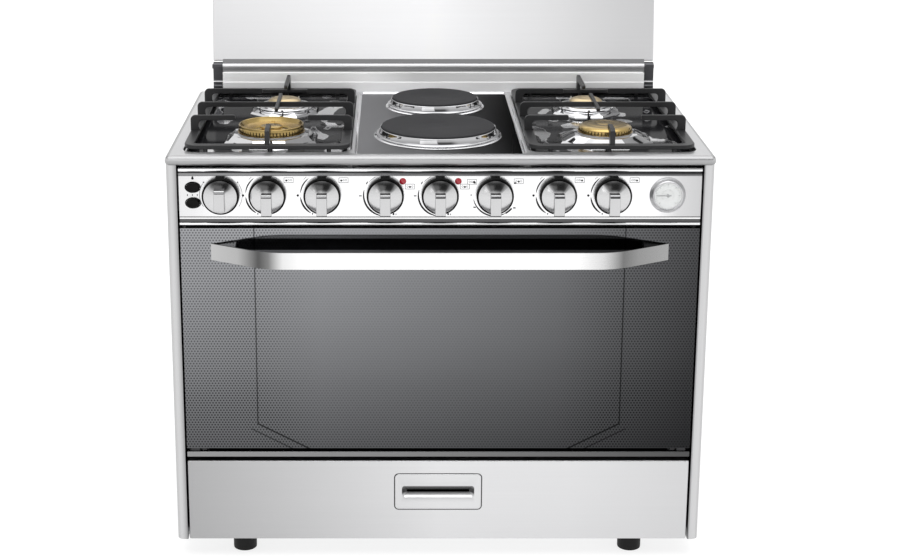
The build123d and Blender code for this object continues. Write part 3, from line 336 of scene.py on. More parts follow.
class SkyBoard(Board):
    """The node board of the light round the set."""

    def __init__(self, name: str) -> None:
        """Starts with an empty board and its output.

        Args:
            name: the light's name.
        """
        self.world = bpy.data.worlds.new(name)
        self.world.use_nodes = True
        self.tree = self.world.node_tree
        self.tree.nodes.clear()
        self.output = self.tree.nodes.new("ShaderNodeOutputWorld")


def scaled(colour: Colour, factor: float) -> Colour:
    """A colour made lighter or darker."""
    return (colour[0] * factor, colour[1] * factor, colour[2] * factor)


@dataclass(frozen=True)
class Fade:
    """A slow change of tone across a sheet, as a long studio light leaves it."""

    axis: int
    start: float
    end: float
    stops: Tuple[Point, ...]

    def of(self, board: Board) -> Signal:
        """The share of the tone at each point of the sheet."""
        place = board.axes(board.place())[self.axis]
        share = (place - self.start) / (self.end - self.start)
        return Signal(board, board.node("ShaderNodeValToRGB", {"stops": self.stops}, {0: share}).outputs[0])


@dataclass(frozen=True)
class Metal:
    """Bare metal with a brushed or rolled grain and faint smears."""

    name: str
    tone: Colour = (0.62, 0.62, 0.63)
    roughness: float = 0.3
    contrast: float = 0.06
    smear: float = 0.05
    grain: Grain = Grain.ACROSS
    relief: float = 0.0
    fade: Optional[Fade] = None
    metallic: float = 1.0
    edge: float = 1.0

    def mix(self) -> Material:
        """Mixes the finish on a new board."""
        board = Board(self.name)
        fine = board.noise(board.place(scale=self.grain.value), 1.0, 3.0)
        broad = board.noise(board.place(), 6.0, 3.0)
        shade = ((fine - 0.5) * self.contrast + (broad - 0.5) * self.smear + 0.5).clamp()
        colour = board.blend(shade, scaled(self.tone, 0.45), scaled(self.tone, 1.55))
        # Painted light and shade: the fade scales the colour across the sheet.
        if self.fade:
            inputs = {0: colour, "Scale": self.fade.of(board)}
            colour = board.node("ShaderNodeVectorMath", {"operation": "SCALE"}, inputs).outputs[0]
        rough = self.roughness * (0.8 + (broad * 0.25 + fine * 0.15))
        looks: Dict[str, object] = {"Base_Color": colour, "Metallic": self.metallic, "Roughness": rough,
                                    "Specular_Tint": (self.edge,) * 3}
        if self.relief:
            looks["Normal"] = board.bump(fine, self.relief, 0.0002)
        return board.surface(**looks)


@dataclass(frozen=True)
class Enamel:
    """Fired enamel or paint with a slight orange peel."""

    name: str
    tone: Colour = (0.02, 0.02, 0.022)
    roughness: float = 0.25
    peel: float = 0.08
    peel_size: float = 400.0
    mottle: float = 0.3
    shine: float = 0.5

    def mix(self) -> Material:
        """Mixes the finish on a new board."""
        board = Board(self.name)
        place = board.place()
        peel = board.noise(place, self.peel_size, 2.0)
        broad = board.noise(place, 9.0, 3.0)
        colour = board.blend(broad, scaled(self.tone, 1 - self.mottle), scaled(self.tone, 1 + self.mottle))
        return board.surface(
            Base_Color=colour,
            Roughness=self.roughness * (0.85 + broad * 0.3),
            Normal=board.bump(peel, self.peel, 0.0004),
            Specular_IOR_Level=self.shine,
        )


@dataclass(frozen=True)
class PatchedMirror:
    """Dark polished steel with painted reflections: pale patches and a greyer strip beside the tray stand in for what
    the well mirrors.
    """

    name: str
    dark: Colour = (0.008, 0.008, 0.009)
    grey: Colour = (0.035, 0.035, 0.036)
    pale: Colour = (0.70, 0.70, 0.71)
    gloss: float = 1.07
    tray_side: float = 0.27

    def mix(self) -> Material:
        """Mixes the finish on a new board."""
        board = Board(self.name)
        x, _, _ = board.axes(board.place())
        patch_cloud = board.noise(board.place(scale=(1.0, 0.55, 1.0)), 17.0, 1.0)
        swirl = board.noise(board.place(scale=(1.0, 0.7, 1.0)), 34.0, 2.0)
        # Painted reflections: the strip beside the tray is painted greyer, and cloudy pale patches are painted as
        # mirror images.
        near_tray = x.absolute().below(self.tray_side, 0.03)
        base = board.blend(near_tray * (0.6 + swirl * 0.6), self.dark, self.grey)
        reflection_patches = 1 - (patch_cloud * 0.75 + swirl * 0.25).below(0.585, 0.02)
        colour = board.blend(reflection_patches, base, self.pale)
        return board.surface(Base_Color=colour, Metallic=reflection_patches, Roughness=0.06 + 0.05 * swirl, IOR=self.gloss)


@dataclass(frozen=True)
class TurnedIron:
    """Black coated iron of a hotplate with fine turning marks."""

    name: str
    centre: Spot
    tone: Colour = (0.034, 0.034, 0.036)
    roughness: float = 0.5
    ring_pitch: float = 0.0012

    def mix(self) -> Material:
        """Mixes the finish on a new board."""
        board = Board(self.name)
        place = board.place(self.centre)
        x, y, _ = board.axes(place)
        radius = (x * x + y * y).root()
        rings = (radius * (2 * math.pi / self.ring_pitch)).sine() * 0.5 + 0.5
        broad = board.noise(place, 14.0, 3.0)
        fine = board.noise(place, 900.0, 2.0)
        shade = (rings * 0.15 + broad * 0.5 + fine * 0.25).clamp()
        colour = board.blend(shade, scaled(self.tone, 0.85), scaled(self.tone, 1.15))
        return board.surface(
            Base_Color=colour,
            IOR=1.1,
            Roughness=self.roughness * (0.85 + 0.3 * broad),
            Normal=board.bump(rings * 0.6 + fine * 0.4, 0.12, 0.0003),
        )


@dataclass(frozen=True)
class SpunCap:
    """Satin chrome of a knob's dome with turning streaks, and a painted dark reflection in a wedge over its top."""

    name: str
    centre: Spot
    tone: Colour = (0.62, 0.62, 0.625)
    roughness: float = 0.2
    reflection_wedge: float = 0.62

    def mix(self) -> Material:
        """Mixes the finish on a new board."""
        board = Board(self.name)
        place = board.place(self.centre, (1.0, 0.0, 1.0))
        ray = board.node("ShaderNodeVectorMath", {"operation": "NORMALIZE"}, {0: place}).outputs[0]
        streaks = board.noise(ray, 5.0, 3.0)
        fine = board.noise(ray, 26.0, 1.0)
        across, _, up = board.axes(ray)
        # Painted reflection: a dark wedge over the dome's top, fading out towards its middle.
        dark_wedge_reflection = (up - across.absolute() * 0.35 + (streaks - 0.5) * 0.5 - self.reflection_wedge + 0.28).most(0.0) * 3.0
        x, _, z = board.axes(place)
        reach = (x * x + z * z).root()
        dark_wedge_reflection = dark_wedge_reflection.clamp() * (1 - reach.below(0.012, 0.008))
        shade = ((streaks - 0.5) * 0.35 + (fine - 0.5) * 0.12 + 0.5).clamp()
        colour = board.blend(shade, scaled(self.tone, 0.78), scaled(self.tone, 1.2))
        colour = board.blend(dark_wedge_reflection * 0.92, colour, scaled(self.tone, 0.10))
        return board.surface(Base_Color=colour, Metallic=1.0, Roughness=self.roughness * (0.85 + streaks * 0.3))


@dataclass(frozen=True)
class Spangle:
    """Galvanised sheet with its zinc crystals."""

    name: str
    tone: Colour = (0.55, 0.56, 0.57)
    roughness: float = 0.38

    def mix(self) -> Material:
        """Mixes the finish on a new board."""
        board = Board(self.name)
        place = board.place()
        cells = board.node("ShaderNodeTexVoronoi", {}, {"Vector": place, "Scale": 90.0}).outputs["Color"]
        crystal = board.axes(cells)[0]
        broad = board.noise(place, 5.0, 3.0)
        shade = (crystal * 0.5 + broad * 0.5).clamp()
        colour = board.blend(shade, scaled(self.tone, 0.8), scaled(self.tone, 1.15))
        return board.surface(Base_Color=colour, Metallic=1.0, Roughness=self.roughness * (0.8 + crystal * 0.4))


@dataclass(frozen=True)
class DottedGlass:
    """Reflective dark glass with staggered printed dots, the lines of the window behind it, and a painted reflection
    that is lighter at the upper left.
    """

    name: str
    centre: Spot
    half_width: float
    half_height: float
    window: float
    window_foot: float
    corner: Point
    dot_pitch: float = 0.0057
    row_pitch: float = 0.0049
    dot: float = 0.0017
    line_gap: float = 0.011

    def mix(self) -> Material:
        """Mixes the finish on a new board."""
        board = Board(self.name)
        x, _, z = board.axes(board.place(self.centre))
        row = z / self.row_pitch
        shift = (row.whole() * 0.5).fraction()
        across = ((x / self.dot_pitch + shift).fraction() - 0.5) * self.dot_pitch
        up = (row.fraction() - 0.5) * self.row_pitch
        dots = (across * across + up * up).root().below(self.dot, 0.0009)
        across_share = (x / (2 * self.half_width) + 0.5).clamp()
        up_share = (z / (2 * self.half_height) + 0.5).clamp()
        slope = self.corner[1] / self.corner[0]
        past_side = x.absolute() - self.window
        past_corner = ((x.absolute() - (self.window - self.corner[0])) * slope - (z - self.window_foot)) / (1 + slope)
        side = (past_side / 0.12 + 1.0).clamp()
        foot = (1 - up_share * 2.6).clamp()
        dots = dots * (side * 0.6 + foot * 0.5 + 0.2).clamp()
        line = past_side.most(past_corner).absolute().below(0.0011, 0.0010) * 0.75
        outer = (past_corner - self.line_gap).absolute().below(0.0009, 0.0010)
        outer = outer * (past_side - 0.012).below(0.0, 0.004) * 0.6
        # Painted reflection: the glass is lighter towards the top and the left and darker towards the lower right.
        left = up_share * 0.22 + 0.11
        right = up_share * 0.045 + 0.024
        light = left + (right - left) * across_share * (across_share * 0.4 + 0.6)
        cloud = board.noise(board.place(scale=(1.0, 1.0, 3.0)), 2.5, 2.0)
        light = light * (0.92 + cloud * 0.16)
        tone = (light * (1 - dots * 0.75) * (1 - line) * (1 - outer)).clamp()
        colour = board.blend(tone, (0.0, 0.0, 0.0), (1.0, 1.015, 1.06))
        return board.surface(Base_Color=colour, Metallic=1.0, Roughness=0.05 + 0.03 * cloud + dots * 0.12)


@dataclass(frozen=True)
class Glass:
    """Clear or tinted glass with a faint film."""

    name: str
    tone: Colour = (0.92, 0.94, 0.94)
    clear: float = 0.75
    roughness: float = 0.05

    def mix(self) -> Material:
        """Mixes the finish on a new board."""
        board = Board(self.name)
        film = board.noise(board.place(), 12.0, 3.0)
        colour = board.blend(film, scaled(self.tone, 0.96), self.tone)
        return board.surface(
            Base_Color=colour, Roughness=self.roughness + 0.04 * film, Alpha=(1 - self.clear) + 0.04 * film, IOR=1.5
        )


@dataclass(frozen=True)
class Lens:
    """Coloured clear plastic lens with a ribbed inside."""

    name: str
    tone: Colour = (0.55, 0.02, 0.03)
    glow: float = 0.25

    def mix(self) -> Material:
        """Mixes the finish on a new board."""
        board = Board(self.name)
        place = board.place()
        ribs = board.noise(place, 700.0, 1.0)
        colour = board.blend(ribs, scaled(self.tone, 0.75), scaled(self.tone, 1.2))
        return board.surface(
            Base_Color=colour, Roughness=0.12 + 0.08 * ribs, Coat_Weight=0.6, Coat_Roughness=0.05,
            Emission_Color=colour, Emission_Strength=self.glow,
        )


@dataclass(frozen=True)
class Wool:
    """Loose mineral wool."""

    name: str
    tone: Colour = (0.6, 0.52, 0.33)

    def mix(self) -> Material:
        """Mixes the finish on a new board."""
        board = Board(self.name)
        tufts = board.noise(board.place(), 60.0, 6.0)
        fibres = board.noise(board.place(scale=(1.0, 4.0, 1.0)), 500.0, 4.0)
        colour = board.blend(tufts, scaled(self.tone, 0.7), scaled(self.tone, 1.3))
        return board.surface(
            Base_Color=colour, Roughness=0.9 + 0.1 * tufts, Normal=board.bump(tufts + fibres * 0.5, 0.8, 0.003)
        )


Finish = Union[Metal, PatchedMirror, Enamel, TurnedIron, SpunCap, Spangle, DottedGlass, Glass, Lens, Wool]


@lru_cache(maxsize=None)
def material_of(finish: Finish) -> Material:
    """The material of a finish, mixed once."""
    return finish.mix()


# Painted light and shade: each fade scales a sheet's colour where the studio light leaves it lighter or darker.
# Examples are the lid's bright middle, the dark ends of the fascia and the dark bends of the handle. Others are the
# shadow in the drawer pull's scoop, the darker ends of the drawer and trim, and the darker middle of the rear strip.
# The rest are the bands down the hob's bullnose, the lighter left side of the tray and the bright stripes on the corner
# strips.
ACROSS_FRONT = (-0.5, 0.5)
LID_FADE = Fade(0, *ACROSS_FRONT, ((0.0, 0.74), (0.22, 0.9), (0.5, 1.16), (0.72, 1.04), (0.9, 0.86), (1.0, 0.8)))
UPSTAND_FADE = Fade(0, *ACROSS_FRONT, ((0.0, 1.0), (0.35, 1.0), (0.46, 0.74), (0.62, 0.84), (1.0, 1.0)))
DRAWER_FADE = Fade(0, *ACROSS_FRONT, ((0.0, 0.45), (0.25, 0.63), (0.5, 0.83), (0.75, 0.81), (1.0, 0.7)))
PANEL_FADE = Fade(0, *ACROSS_FRONT, ((0.0, 0.74), (0.05, 0.8), (0.13, 1.0), (0.89, 0.97), (0.935, 0.66), (1.0, 0.52)))
POST_FADE = Fade(0, *ACROSS_FRONT, (
    (0.0, 0.72), (0.004, 0.86), (0.009, 1.0), (0.014, 0.86), (0.018, 0.6), (0.021, 0.48), (0.979, 0.98), (0.986, 0.92),
    (0.991, 1.02), (0.996, 0.86), (1.0, 0.68)))
TRIM_FADE = Fade(0, *ACROSS_FRONT, ((0.0, 0.30), (0.4, 0.23), (1.0, 0.08)))
NOSE_FADE = Fade(2, 0.777, 0.795, (
    (0.0, 0.3), (0.3, 0.42), (0.5, 0.48), (0.62, 0.62), (0.72, 0.74), (0.8, 0.5), (0.88, 0.32), (0.95, 0.4),
    (1.0, 0.62)))
GRIP_FADE = Fade(0, -0.42, 0.42, (
    (0.0, 0.5), (0.06, 0.43), (0.09, 0.21), (0.107, 0.09), (0.13, 0.21), (0.16, 0.75), (0.22, 1.0), (0.78, 1.0),
    (0.85, 0.65), (0.895, 0.18), (0.93, 0.28), (1.0, 0.36)))
PULL_FADE = Fade(2, 0.122, 0.148, ((0.0, 1.0), (0.22, 0.7), (0.42, 0.06), (0.68, 0.08), (0.86, 0.4), (1.0, 0.8)))
TRAY_FADE = Fade(0, -0.157, 0.157, ((0.0, 3.0), (0.3, 2.4), (0.65, 1.05), (1.0, 0.1)))

SATIN = Metal("satin_steel", (0.60, 0.60, 0.61), 0.34, 0.05, 0.05)
HOB_SATIN = Metal("hob_satin_steel", (0.70, 0.70, 0.71), 0.30, 0.05, 0.06)
HOB_NOSE = Metal("hob_nose_steel", (0.86, 0.86, 0.87), 0.36, 0.04, 0.05, fade=NOSE_FADE)
HOB_TRAY = Metal("hob_tray_steel", (0.20, 0.20, 0.205), 0.3, 0.08, 0.10, fade=TRAY_FADE, edge=0.25)
# The wells' dark steel carries painted reflections.
HOB_WELL = PatchedMirror("hob_well_painted_reflections")
DISH = Metal("dish_polished_steel", (0.74, 0.74, 0.75), 0.07, 0.03, 0.06, Grain.NONE)
# Painted reflections: grey and near-black copies of the dish steel for the flanks that mirror darker parts of the room.
DISH_GREY_REFLECTION = Metal("dish_painted_grey_reflection", (0.26, 0.26, 0.265), 0.1, 0.06, 0.12, Grain.NONE)
DISH_DARK_REFLECTION = Metal("dish_painted_dark_reflection", (0.035, 0.035, 0.036), 0.12, 0.06, 0.12, Grain.NONE, metallic=0.4)
MIRROR = Metal("polished_steel", (0.50, 0.50, 0.51), 0.06, 0.02, 0.03)
FASCIA = Metal("fascia_steel", (0.95, 0.95, 0.96), 0.24, 0.03, 0.03, fade=PANEL_FADE)
BEAD = Metal("fascia_bead_steel", (0.92, 0.92, 0.93), 0.07, 0.03, 0.04)
# Painted shade and reflection: darker copies of the fascia steel for the cove and the sunk band.
COVE_SHADE = Metal("fascia_cove_painted_shade", (0.24, 0.24, 0.245), 0.2, 0.08, 0.12)
SUNK_BAND_REFLECTION = Metal("fascia_sunk_band_painted_reflection", (0.10, 0.10, 0.102), 0.18, 0.25, 0.4)
# Near-black painted shade for grooves, gaps, the backs of parts and the crease of the knob grips.
DEEP_SHADE = Metal("painted_deep_shade", (0.04, 0.04, 0.042), 0.3, 0.1, 0.1)
POST = Metal("post_steel", (0.60, 0.60, 0.605), 0.30, 0.03, 0.03, Grain.UPRIGHT, fade=POST_FADE)
# Painted shade: a darker copy of the post steel for the corner strips' inner edges.
POST_EDGE_SHADE = Metal("post_edge_painted_shade", (0.34, 0.34, 0.345), 0.30, 0.03, 0.03, Grain.UPRIGHT)
KNOB_GRIP = Metal("knob_grip_satin", (0.58, 0.58, 0.585), 0.24, 0.06, 0.04, Grain.UPRIGHT)
# Painted shade: a darker copy of the grip steel for the grips' sides and sloping tops.
KNOB_SIDE_SHADE = Metal("knob_side_painted_shade", (0.36, 0.36, 0.365), 0.2, 0.05, 0.06, Grain.NONE)
GRIP_FACE = Metal("handle_satin", (0.97, 0.97, 0.97), 0.28, 0.03, 0.03, fade=GRIP_FADE)
# Painted shade: a dark copy of the handle steel for its top faces.
GRIP_TOP_SHADE = Metal("handle_top_painted_shade", (0.14, 0.14, 0.143), 0.3, 0.05, 0.05)
LID_SATIN = Metal("lid_satin_steel", (0.86, 0.86, 0.87), 0.30, 0.04, 0.04, fade=LID_FADE)
# Painted shade: a darker copy of the lid steel for the lid's back.
LID_BACK_SHADE = Metal("lid_back_painted_shade", (0.56, 0.56, 0.57), 0.36, 0.05, 0.05)
# Painted shade for the rail's fold, and a painted highlight line for the rail and the hinge blocks.
RAIL_FOLD_SHADE = Metal("lid_rail_fold_painted_shade", (0.105, 0.105, 0.107), 0.3, 0.05, 0.05)
RAIL_HIGHLIGHT = Metal("lid_rail_painted_highlight", (0.96, 0.96, 0.97), 0.3, 0.02, 0.02, metallic=0.2)
RAIL_GREY = Metal("lid_rail_steel", (0.32, 0.32, 0.325), 0.3, 0.05, 0.06, metallic=0.25)
UPSTAND = Metal("rear_strip_steel", (0.98, 0.98, 0.98), 0.35, 0.03, 0.03, fade=UPSTAND_FADE, metallic=0.05)
LEDGE = Metal("rear_ledge_steel", (0.94, 0.94, 0.945), 0.35, 0.03, 0.03, metallic=0.1)
DRAWER_SATIN = Metal("drawer_satin_steel", (0.84, 0.84, 0.85), 0.32, 0.04, 0.04, fade=DRAWER_FADE)
TRIM_SATIN = Metal("trim_satin_steel", (0.95, 0.95, 0.96), 0.3, 0.05, 0.05, fade=TRIM_FADE)
# Painted shadow: dark across the middle of the pull's finger scoop, by height.
SCOOP_SHADE = Metal("pull_scoop_painted_shade", (0.80, 0.80, 0.81), 0.35, 0.03, 0.03, fade=PULL_FADE)
BRASS = Metal("burner_brass", (0.39, 0.28, 0.11), 0.2, 0.12, 0.2, Grain.NONE)
DULL_BRASS = Metal("rear_burner_brass", (0.50, 0.40, 0.24), 0.34, 0.16, 0.16, Grain.NONE)
# Painted shade: a dark brass for the insides of the flame slots.
SLOT_SHADE_BRASS = Metal("burner_slot_painted_shade", (0.20, 0.13, 0.05), 0.4, 0.2, 0.2, Grain.NONE)
TAP_BRASS = Metal("tap_brass", (0.62, 0.46, 0.24), 0.35, 0.12, 0.14, Grain.NONE)
CAST = Metal("cast_aluminium", (0.56, 0.56, 0.57), 0.42, 0.2, 0.1, Grain.NONE, 0.3)
PIPE = Metal("pipe_steel", (0.42, 0.42, 0.42), 0.4, 0.2, 0.2, Grain.NONE)
HEATER = Metal("heater_steel", (0.12, 0.11, 0.10), 0.55, 0.3, 0.4, Grain.NONE)
WIRE = Metal("wire_chrome", (0.66, 0.66, 0.67), 0.16, 0.08, 0.08, Grain.NONE)
BLOCK_METAL = Metal("block_metal", (0.085, 0.085, 0.09), 0.38, 0.15, 0.15, Grain.NONE)
HINGE_DARK = Metal("hinge_dark_steel", (0.05, 0.05, 0.052), 0.4, 0.15, 0.15, Grain.NONE)
ZINC = Spangle("zinc_steel")
SIDE_ENAMEL = Enamel("grey_enamel", (0.42, 0.43, 0.44), 0.35, 0.06, 500.0, 0.04)
OVEN_ENAMEL = Enamel("oven_enamel", (0.012, 0.012, 0.014), 0.12, 0.05, 250.0, 0.3)
IRON_ENAMEL = Enamel("black_enamel", (0.020, 0.020, 0.021), 0.36, 0.25, 900.0, 0.2, 0.32)
GLOSS_BLACK = Enamel("black_plastic", (0.004, 0.004, 0.004), 0.24, 0.02, 900.0, 0.2, 0.12)
DEEP_BLACK = Enamel("button_plastic", (0.003, 0.003, 0.003), 0.4, 0.3, 700.0, 0.4, 0.12)
MATT_BLACK = Enamel("matt_plastic", (0.008, 0.008, 0.008), 0.55, 0.10, 1200.0, 0.2, 0.2)
INK = Enamel("print_ink", (0.006, 0.006, 0.007), 0.5, 0.02, 1500.0, 0.2, 0.2)
PALE_INK = Enamel("pale_ink", (0.12, 0.12, 0.125), 0.5, 0.02, 1500.0, 0.1, 0.2)
CERAMIC = Enamel("white_ceramic", (0.78, 0.76, 0.70), 0.18, 0.03, 500.0, 0.04)
DIAL_WHITE = Enamel("dial_white", (0.95, 0.95, 0.94), 0.4, 0.02, 900.0, 0.02)
SEAL = Enamel("seal_rubber", (0.03, 0.03, 0.03), 0.7, 0.4, 700.0, 0.25)
CLEAR = Glass("clear_glass")
LAMP_GLASS = Glass("lamp_glass", (0.9, 0.9, 0.86), 0.45, 0.3)
RED = Lens("red_lens", (0.40, 0.008, 0.022), 0.06)
LOFT_WOOL = Wool("mineral_wool")


# The bench


def arc(centre: Point, radius: float, start: float, end: float, steps: int) -> List[Point]:
    """Points along an arc of a drawing.

    Args:
        centre: the arc's centre.
        radius: its radius.
        start: its first angle in degrees.
        end: its last angle in degrees.
        steps: how many pieces it has.

    Returns:
        The points, both ends with them.
    """
    turns = [math.radians(start + (end - start) * step / steps) for step in range(steps + 1)]
    return [(centre[0] + radius * math.cos(turn), centre[1] + radius * math.sin(turn)) for turn in turns]


class Bench:
    """A piece in the making, in millimetres, with the tools that shape it."""

    def __init__(self) -> None:
        """Starts with nothing on the bench."""
        self.work = bmesh.new()

    def _new(self, before: set, slot: int) -> List[Face]:
        """Faces made since a moment, painted with one of the piece's finishes.

        Args:
            before: the faces that were there.
            slot: the number of the finish.

        Returns:
            The new faces.
        """
        made = [face for face in self.work.faces if face not in before]
        for face in made:
            face.material_index = slot
        return made

    @staticmethod
    def _corners(faces: Iterable[Face]) -> List[Corner]:
        """The corners of some faces."""
        return list({corner for face in faces for corner in face.verts})

    def move(self, faces: Sequence[Face], place: Matrix) -> None:
        """Moves or turns some faces."""
        bmesh.ops.transform(self.work, matrix=place, verts=self._corners(faces))

    def drop(self, faces: Sequence[Face]) -> None:
        """Takes some faces away and leaves their edges."""
        bmesh.ops.delete(self.work, geom=list(faces), context="FACES_ONLY")

    def bevel(self, edges: Sequence[Edge], size: float, segments: int) -> None:
        """Rounds some edges.

        Args:
            edges: the edges.
            size: the size of the rounding.
            segments: how many steps it has.
        """
        bmesh.ops.bevel(
            self.work, geom=list(edges), offset=size, offset_type="OFFSET", segments=segments, profile=0.5,
            affect="EDGES", material=-1, clamp_overlap=True,
        )

    def ease(self, faces: Sequence[Face], size: float, segments: int = 2) -> None:
        """Rounds the sharp edges of some faces.

        Args:
            faces: the faces whose edges are rounded.
            size: the size of the rounding.
            segments: how many steps it has.
        """
        edges = {edge for face in faces for edge in face.edges}
        self.bevel([edge for edge in edges if len(edge.link_faces) == 2 and edge.calc_face_angle(0) > SHARP],
                   size, segments)

    def block(self, low: Sequence[float], high: Sequence[float], edge: float = 0.0, segments: int = 2,
              slot: int = 0) -> List[Face]:
        """A block between two corners.

        Args:
            low: its lowest corner.
            high: its highest corner.
            edge: how much its edges are rounded.
            segments: the steps of that rounding.
            slot: the number of its finish.

        Returns:
            Its faces.
        """
        before = set(self.work.faces)
        corners = bmesh.ops.create_cube(self.work, size=1.0)["verts"]
        bmesh.ops.scale(self.work, vec=Vector(high) - Vector(low), verts=corners)
        bmesh.ops.translate(self.work, vec=(Vector(low) + Vector(high)) / 2, verts=corners)
        if edge:
            self.ease(self._new(before, slot), edge, segments)
        return self._new(before, slot)

    def prism(self, outline: Sequence[Point], depth: float, facing: Facing, at: Sequence[float] = (0, 0, 0),
              edge: float = 0.0, segments: int = 2, slot: int = 0) -> List[Face]:
        """A flat outline given a thickness.

        Args:
            outline: the corners on the drawing board.
            depth: the thickness, towards the side that it faces.
            facing: the side that it faces.
            at: where the drawing's origin goes.
            edge: how much its sharp edges are rounded.
            segments: the steps of that rounding.
            slot: the number of its finish.

        Returns:
            Its faces.
        """
        before = set(self.work.faces)
        face = self.work.faces.new([self.work.verts.new((x, y, 0.0)) for x, y in outline])
        grown = bmesh.ops.extrude_face_region(self.work, geom=[face])["geom"]
        tops = [part for part in grown if isinstance(part, Corner)]
        bmesh.ops.translate(self.work, vec=(0.0, 0.0, depth), verts=tops)
        made = self._new(before, slot)
        bmesh.ops.recalc_face_normals(self.work, faces=made)
        if edge:
            self.ease(made, edge, segments)
        made = self._new(before, slot)
        self.move(made, Matrix.Translation(Vector(at)) @ facing.turn)
        return made

    def turned(self, outline: Sequence[Point], at: Sequence[float], facing: Facing = Facing.UP, steps: int = 64,
               closed: bool = False, slot: int = 0) -> List[Face]:
        """A shape turned on a lathe.

        Args:
            outline: radius and height of the points along its side.
            at: where its foot stands.
            facing: the way its height runs.
            steps: how many flats make a turn.
            closed: whether the last point joins the first.
            slot: the number of its finish.

        Returns:
            Its faces.
        """
        before = set(self.work.faces)
        line = [self.work.verts.new((radius, 0.0, height)) for radius, height in outline]
        pairs = list(zip(line, line[1:])) + ([(line[-1], line[0])] if closed else [])
        edges = [self.work.edges.new(pair) for pair in pairs]
        bmesh.ops.spin(
            self.work, geom=line + edges, cent=(0, 0, 0), axis=(0, 0, 1), angle=2 * math.pi, steps=steps,
            use_merge=True,
        )
        made = self._new(before, slot)
        bmesh.ops.remove_doubles(self.work, verts=self._corners(made), dist=0.001)
        made = self._new(before, slot)
        bmesh.ops.recalc_face_normals(self.work, faces=made)
        self.move(made, Matrix.Translation(Vector(at)) @ facing.turn)
        return made

    def loop(self, low: Point, high: Point, corner: float, height: float, segments: int = 8) -> Face:
        """A flat rounded rectangle that looks up.

        Args:
            low: its corner nearest the left and front.
            high: its corner nearest the right and rear.
            corner: the radius of its corners.
            height: where it lies.
            segments: the steps of each corner.

        Returns:
            Its face.
        """
        before = set(self.work.faces)
        spots = [(low[0], low[1]), (high[0], low[1]), (high[0], high[1]), (low[0], high[1])]
        corners = [self.work.verts.new((x, y, height)) for x, y in spots]
        self.work.faces.new(corners)
        bmesh.ops.bevel(
            self.work, geom=corners, offset=corner, offset_type="OFFSET", segments=segments, profile=0.5,
            affect="VERTICES", material=-1, clamp_overlap=True,
        )
        return self._new(before, 0)[0]

    def sink(self, face: Face, steps: Sequence[Point], slot: int) -> Face:
        """Presses a face inwards in steps.

        Args:
            face: the face.
            steps: how far in and how far up each step goes.
            slot: the number of the walls' finish.

        Returns:
            The face, now at the bottom.
        """
        for inwards, upwards in steps:
            walls = bmesh.ops.inset_region(
                self.work, faces=[face], thickness=inwards, depth=upwards, use_even_offset=True, use_boundary=True
            )["faces"]
            for wall in walls:
                wall.material_index = slot
        return face

    def paint(self, faces: Iterable[Face], axis: int, bands: Sequence[Tuple[float, float, int]]) -> None:
        """Gives the faces whose middles lie in a band that band's finish.

        Args:
            faces: the faces.
            axis: 0 for bands across, 1 for bands to the back and 2 for bands upwards.
            bands: the low side, the high side and the finish's number of each band.
        """
        for face in faces:
            middle = face.calc_center_median()[axis]
            for low, high, slot in bands:
                if low <= middle <= high:
                    face.material_index = slot

    @staticmethod
    def paint_side(faces: Iterable[Face], way: Sequence[float], slot: int, share: float = 0.7) -> None:
        """Gives the faces that look one way a finish.

        Args:
            faces: the faces.
            way: the way that they look.
            slot: the finish's number.
            share: how closely they have to look that way, from 0 to 1.
        """
        for face in faces:
            if face.normal.dot(Vector(way)) > share:
                face.material_index = slot

    def fill_round(self, face: Face, inner: Sequence[Face], slot: int) -> None:
        """Cuts a face away where other faces lie in it.

        Args:
            face: the face.
            inner: the faces in it, which stay.
            slot: the number of the finish.
        """
        edges = {edge for part in (face, *inner) for edge in part.edges}
        self.drop([face])
        before = set(self.work.faces)
        bmesh.ops.triangle_fill(self.work, use_beauty=True, edges=list(edges), normal=(0, 0, 1))
        inside = [part for part in self._new(before, slot) if any(set(part.verts) <= set(i.verts) for i in inner)]
        self.drop(inside)

    def make(self, name: str, crease: float = 35.0, weighted: bool = True) -> Piece:
        """Takes the piece off the bench into the shared frame.

        Args:
            name: the piece's name.
            crease: the angle above which an edge stays crisp, in degrees.
            weighted: whether flat faces keep their shading up to their edges.

        Returns:
            The piece's object.
        """
        bmesh.ops.transform(self.work, matrix=TO_FRAME, verts=self.work.verts[:])
        for face in self.work.faces:
            face.smooth = True
        for edge in self.work.edges:
            edge.smooth = len(edge.link_faces) == 2 and edge.calc_face_angle(0) < math.radians(crease)
        mesh = bpy.data.meshes.new(name)
        self.work.to_mesh(mesh)
        self.work.free()
        made = bpy.data.objects.new(name, mesh)
        bpy.context.scene.collection.objects.link(made)
        if weighted:
            modifier = made.modifiers.new("even_shading", "WEIGHTED_NORMAL")
            modifier.keep_sharp = True
        return made


@dataclass
class Assembly:
    """What the cooker's sub-assemblies share."""

    def fit(self, piece: Piece, finishes: Sequence[Finish], body: str, slot: str,
            replaces: Sequence[str] = ()) -> Piece:
        """Finishes a piece and fits it to what carries it.

        Args:
            piece: the piece.
            finishes: its finishes, by number.
            body: the moving or standing part that carries it.
            slot: a name for its main finish, which is not used.
            replaces: the plain pieces that it stands for.

        Returns:
            The piece.
        """
        for finish in finishes:
            piece.data.materials.append(material_of(finish))
        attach(piece, body)
        if replaces:
            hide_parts(*replaces)
        log.info("%s: %d faces on %s", piece.name, len(piece.data.polygons), body)
        return piece


# Hob


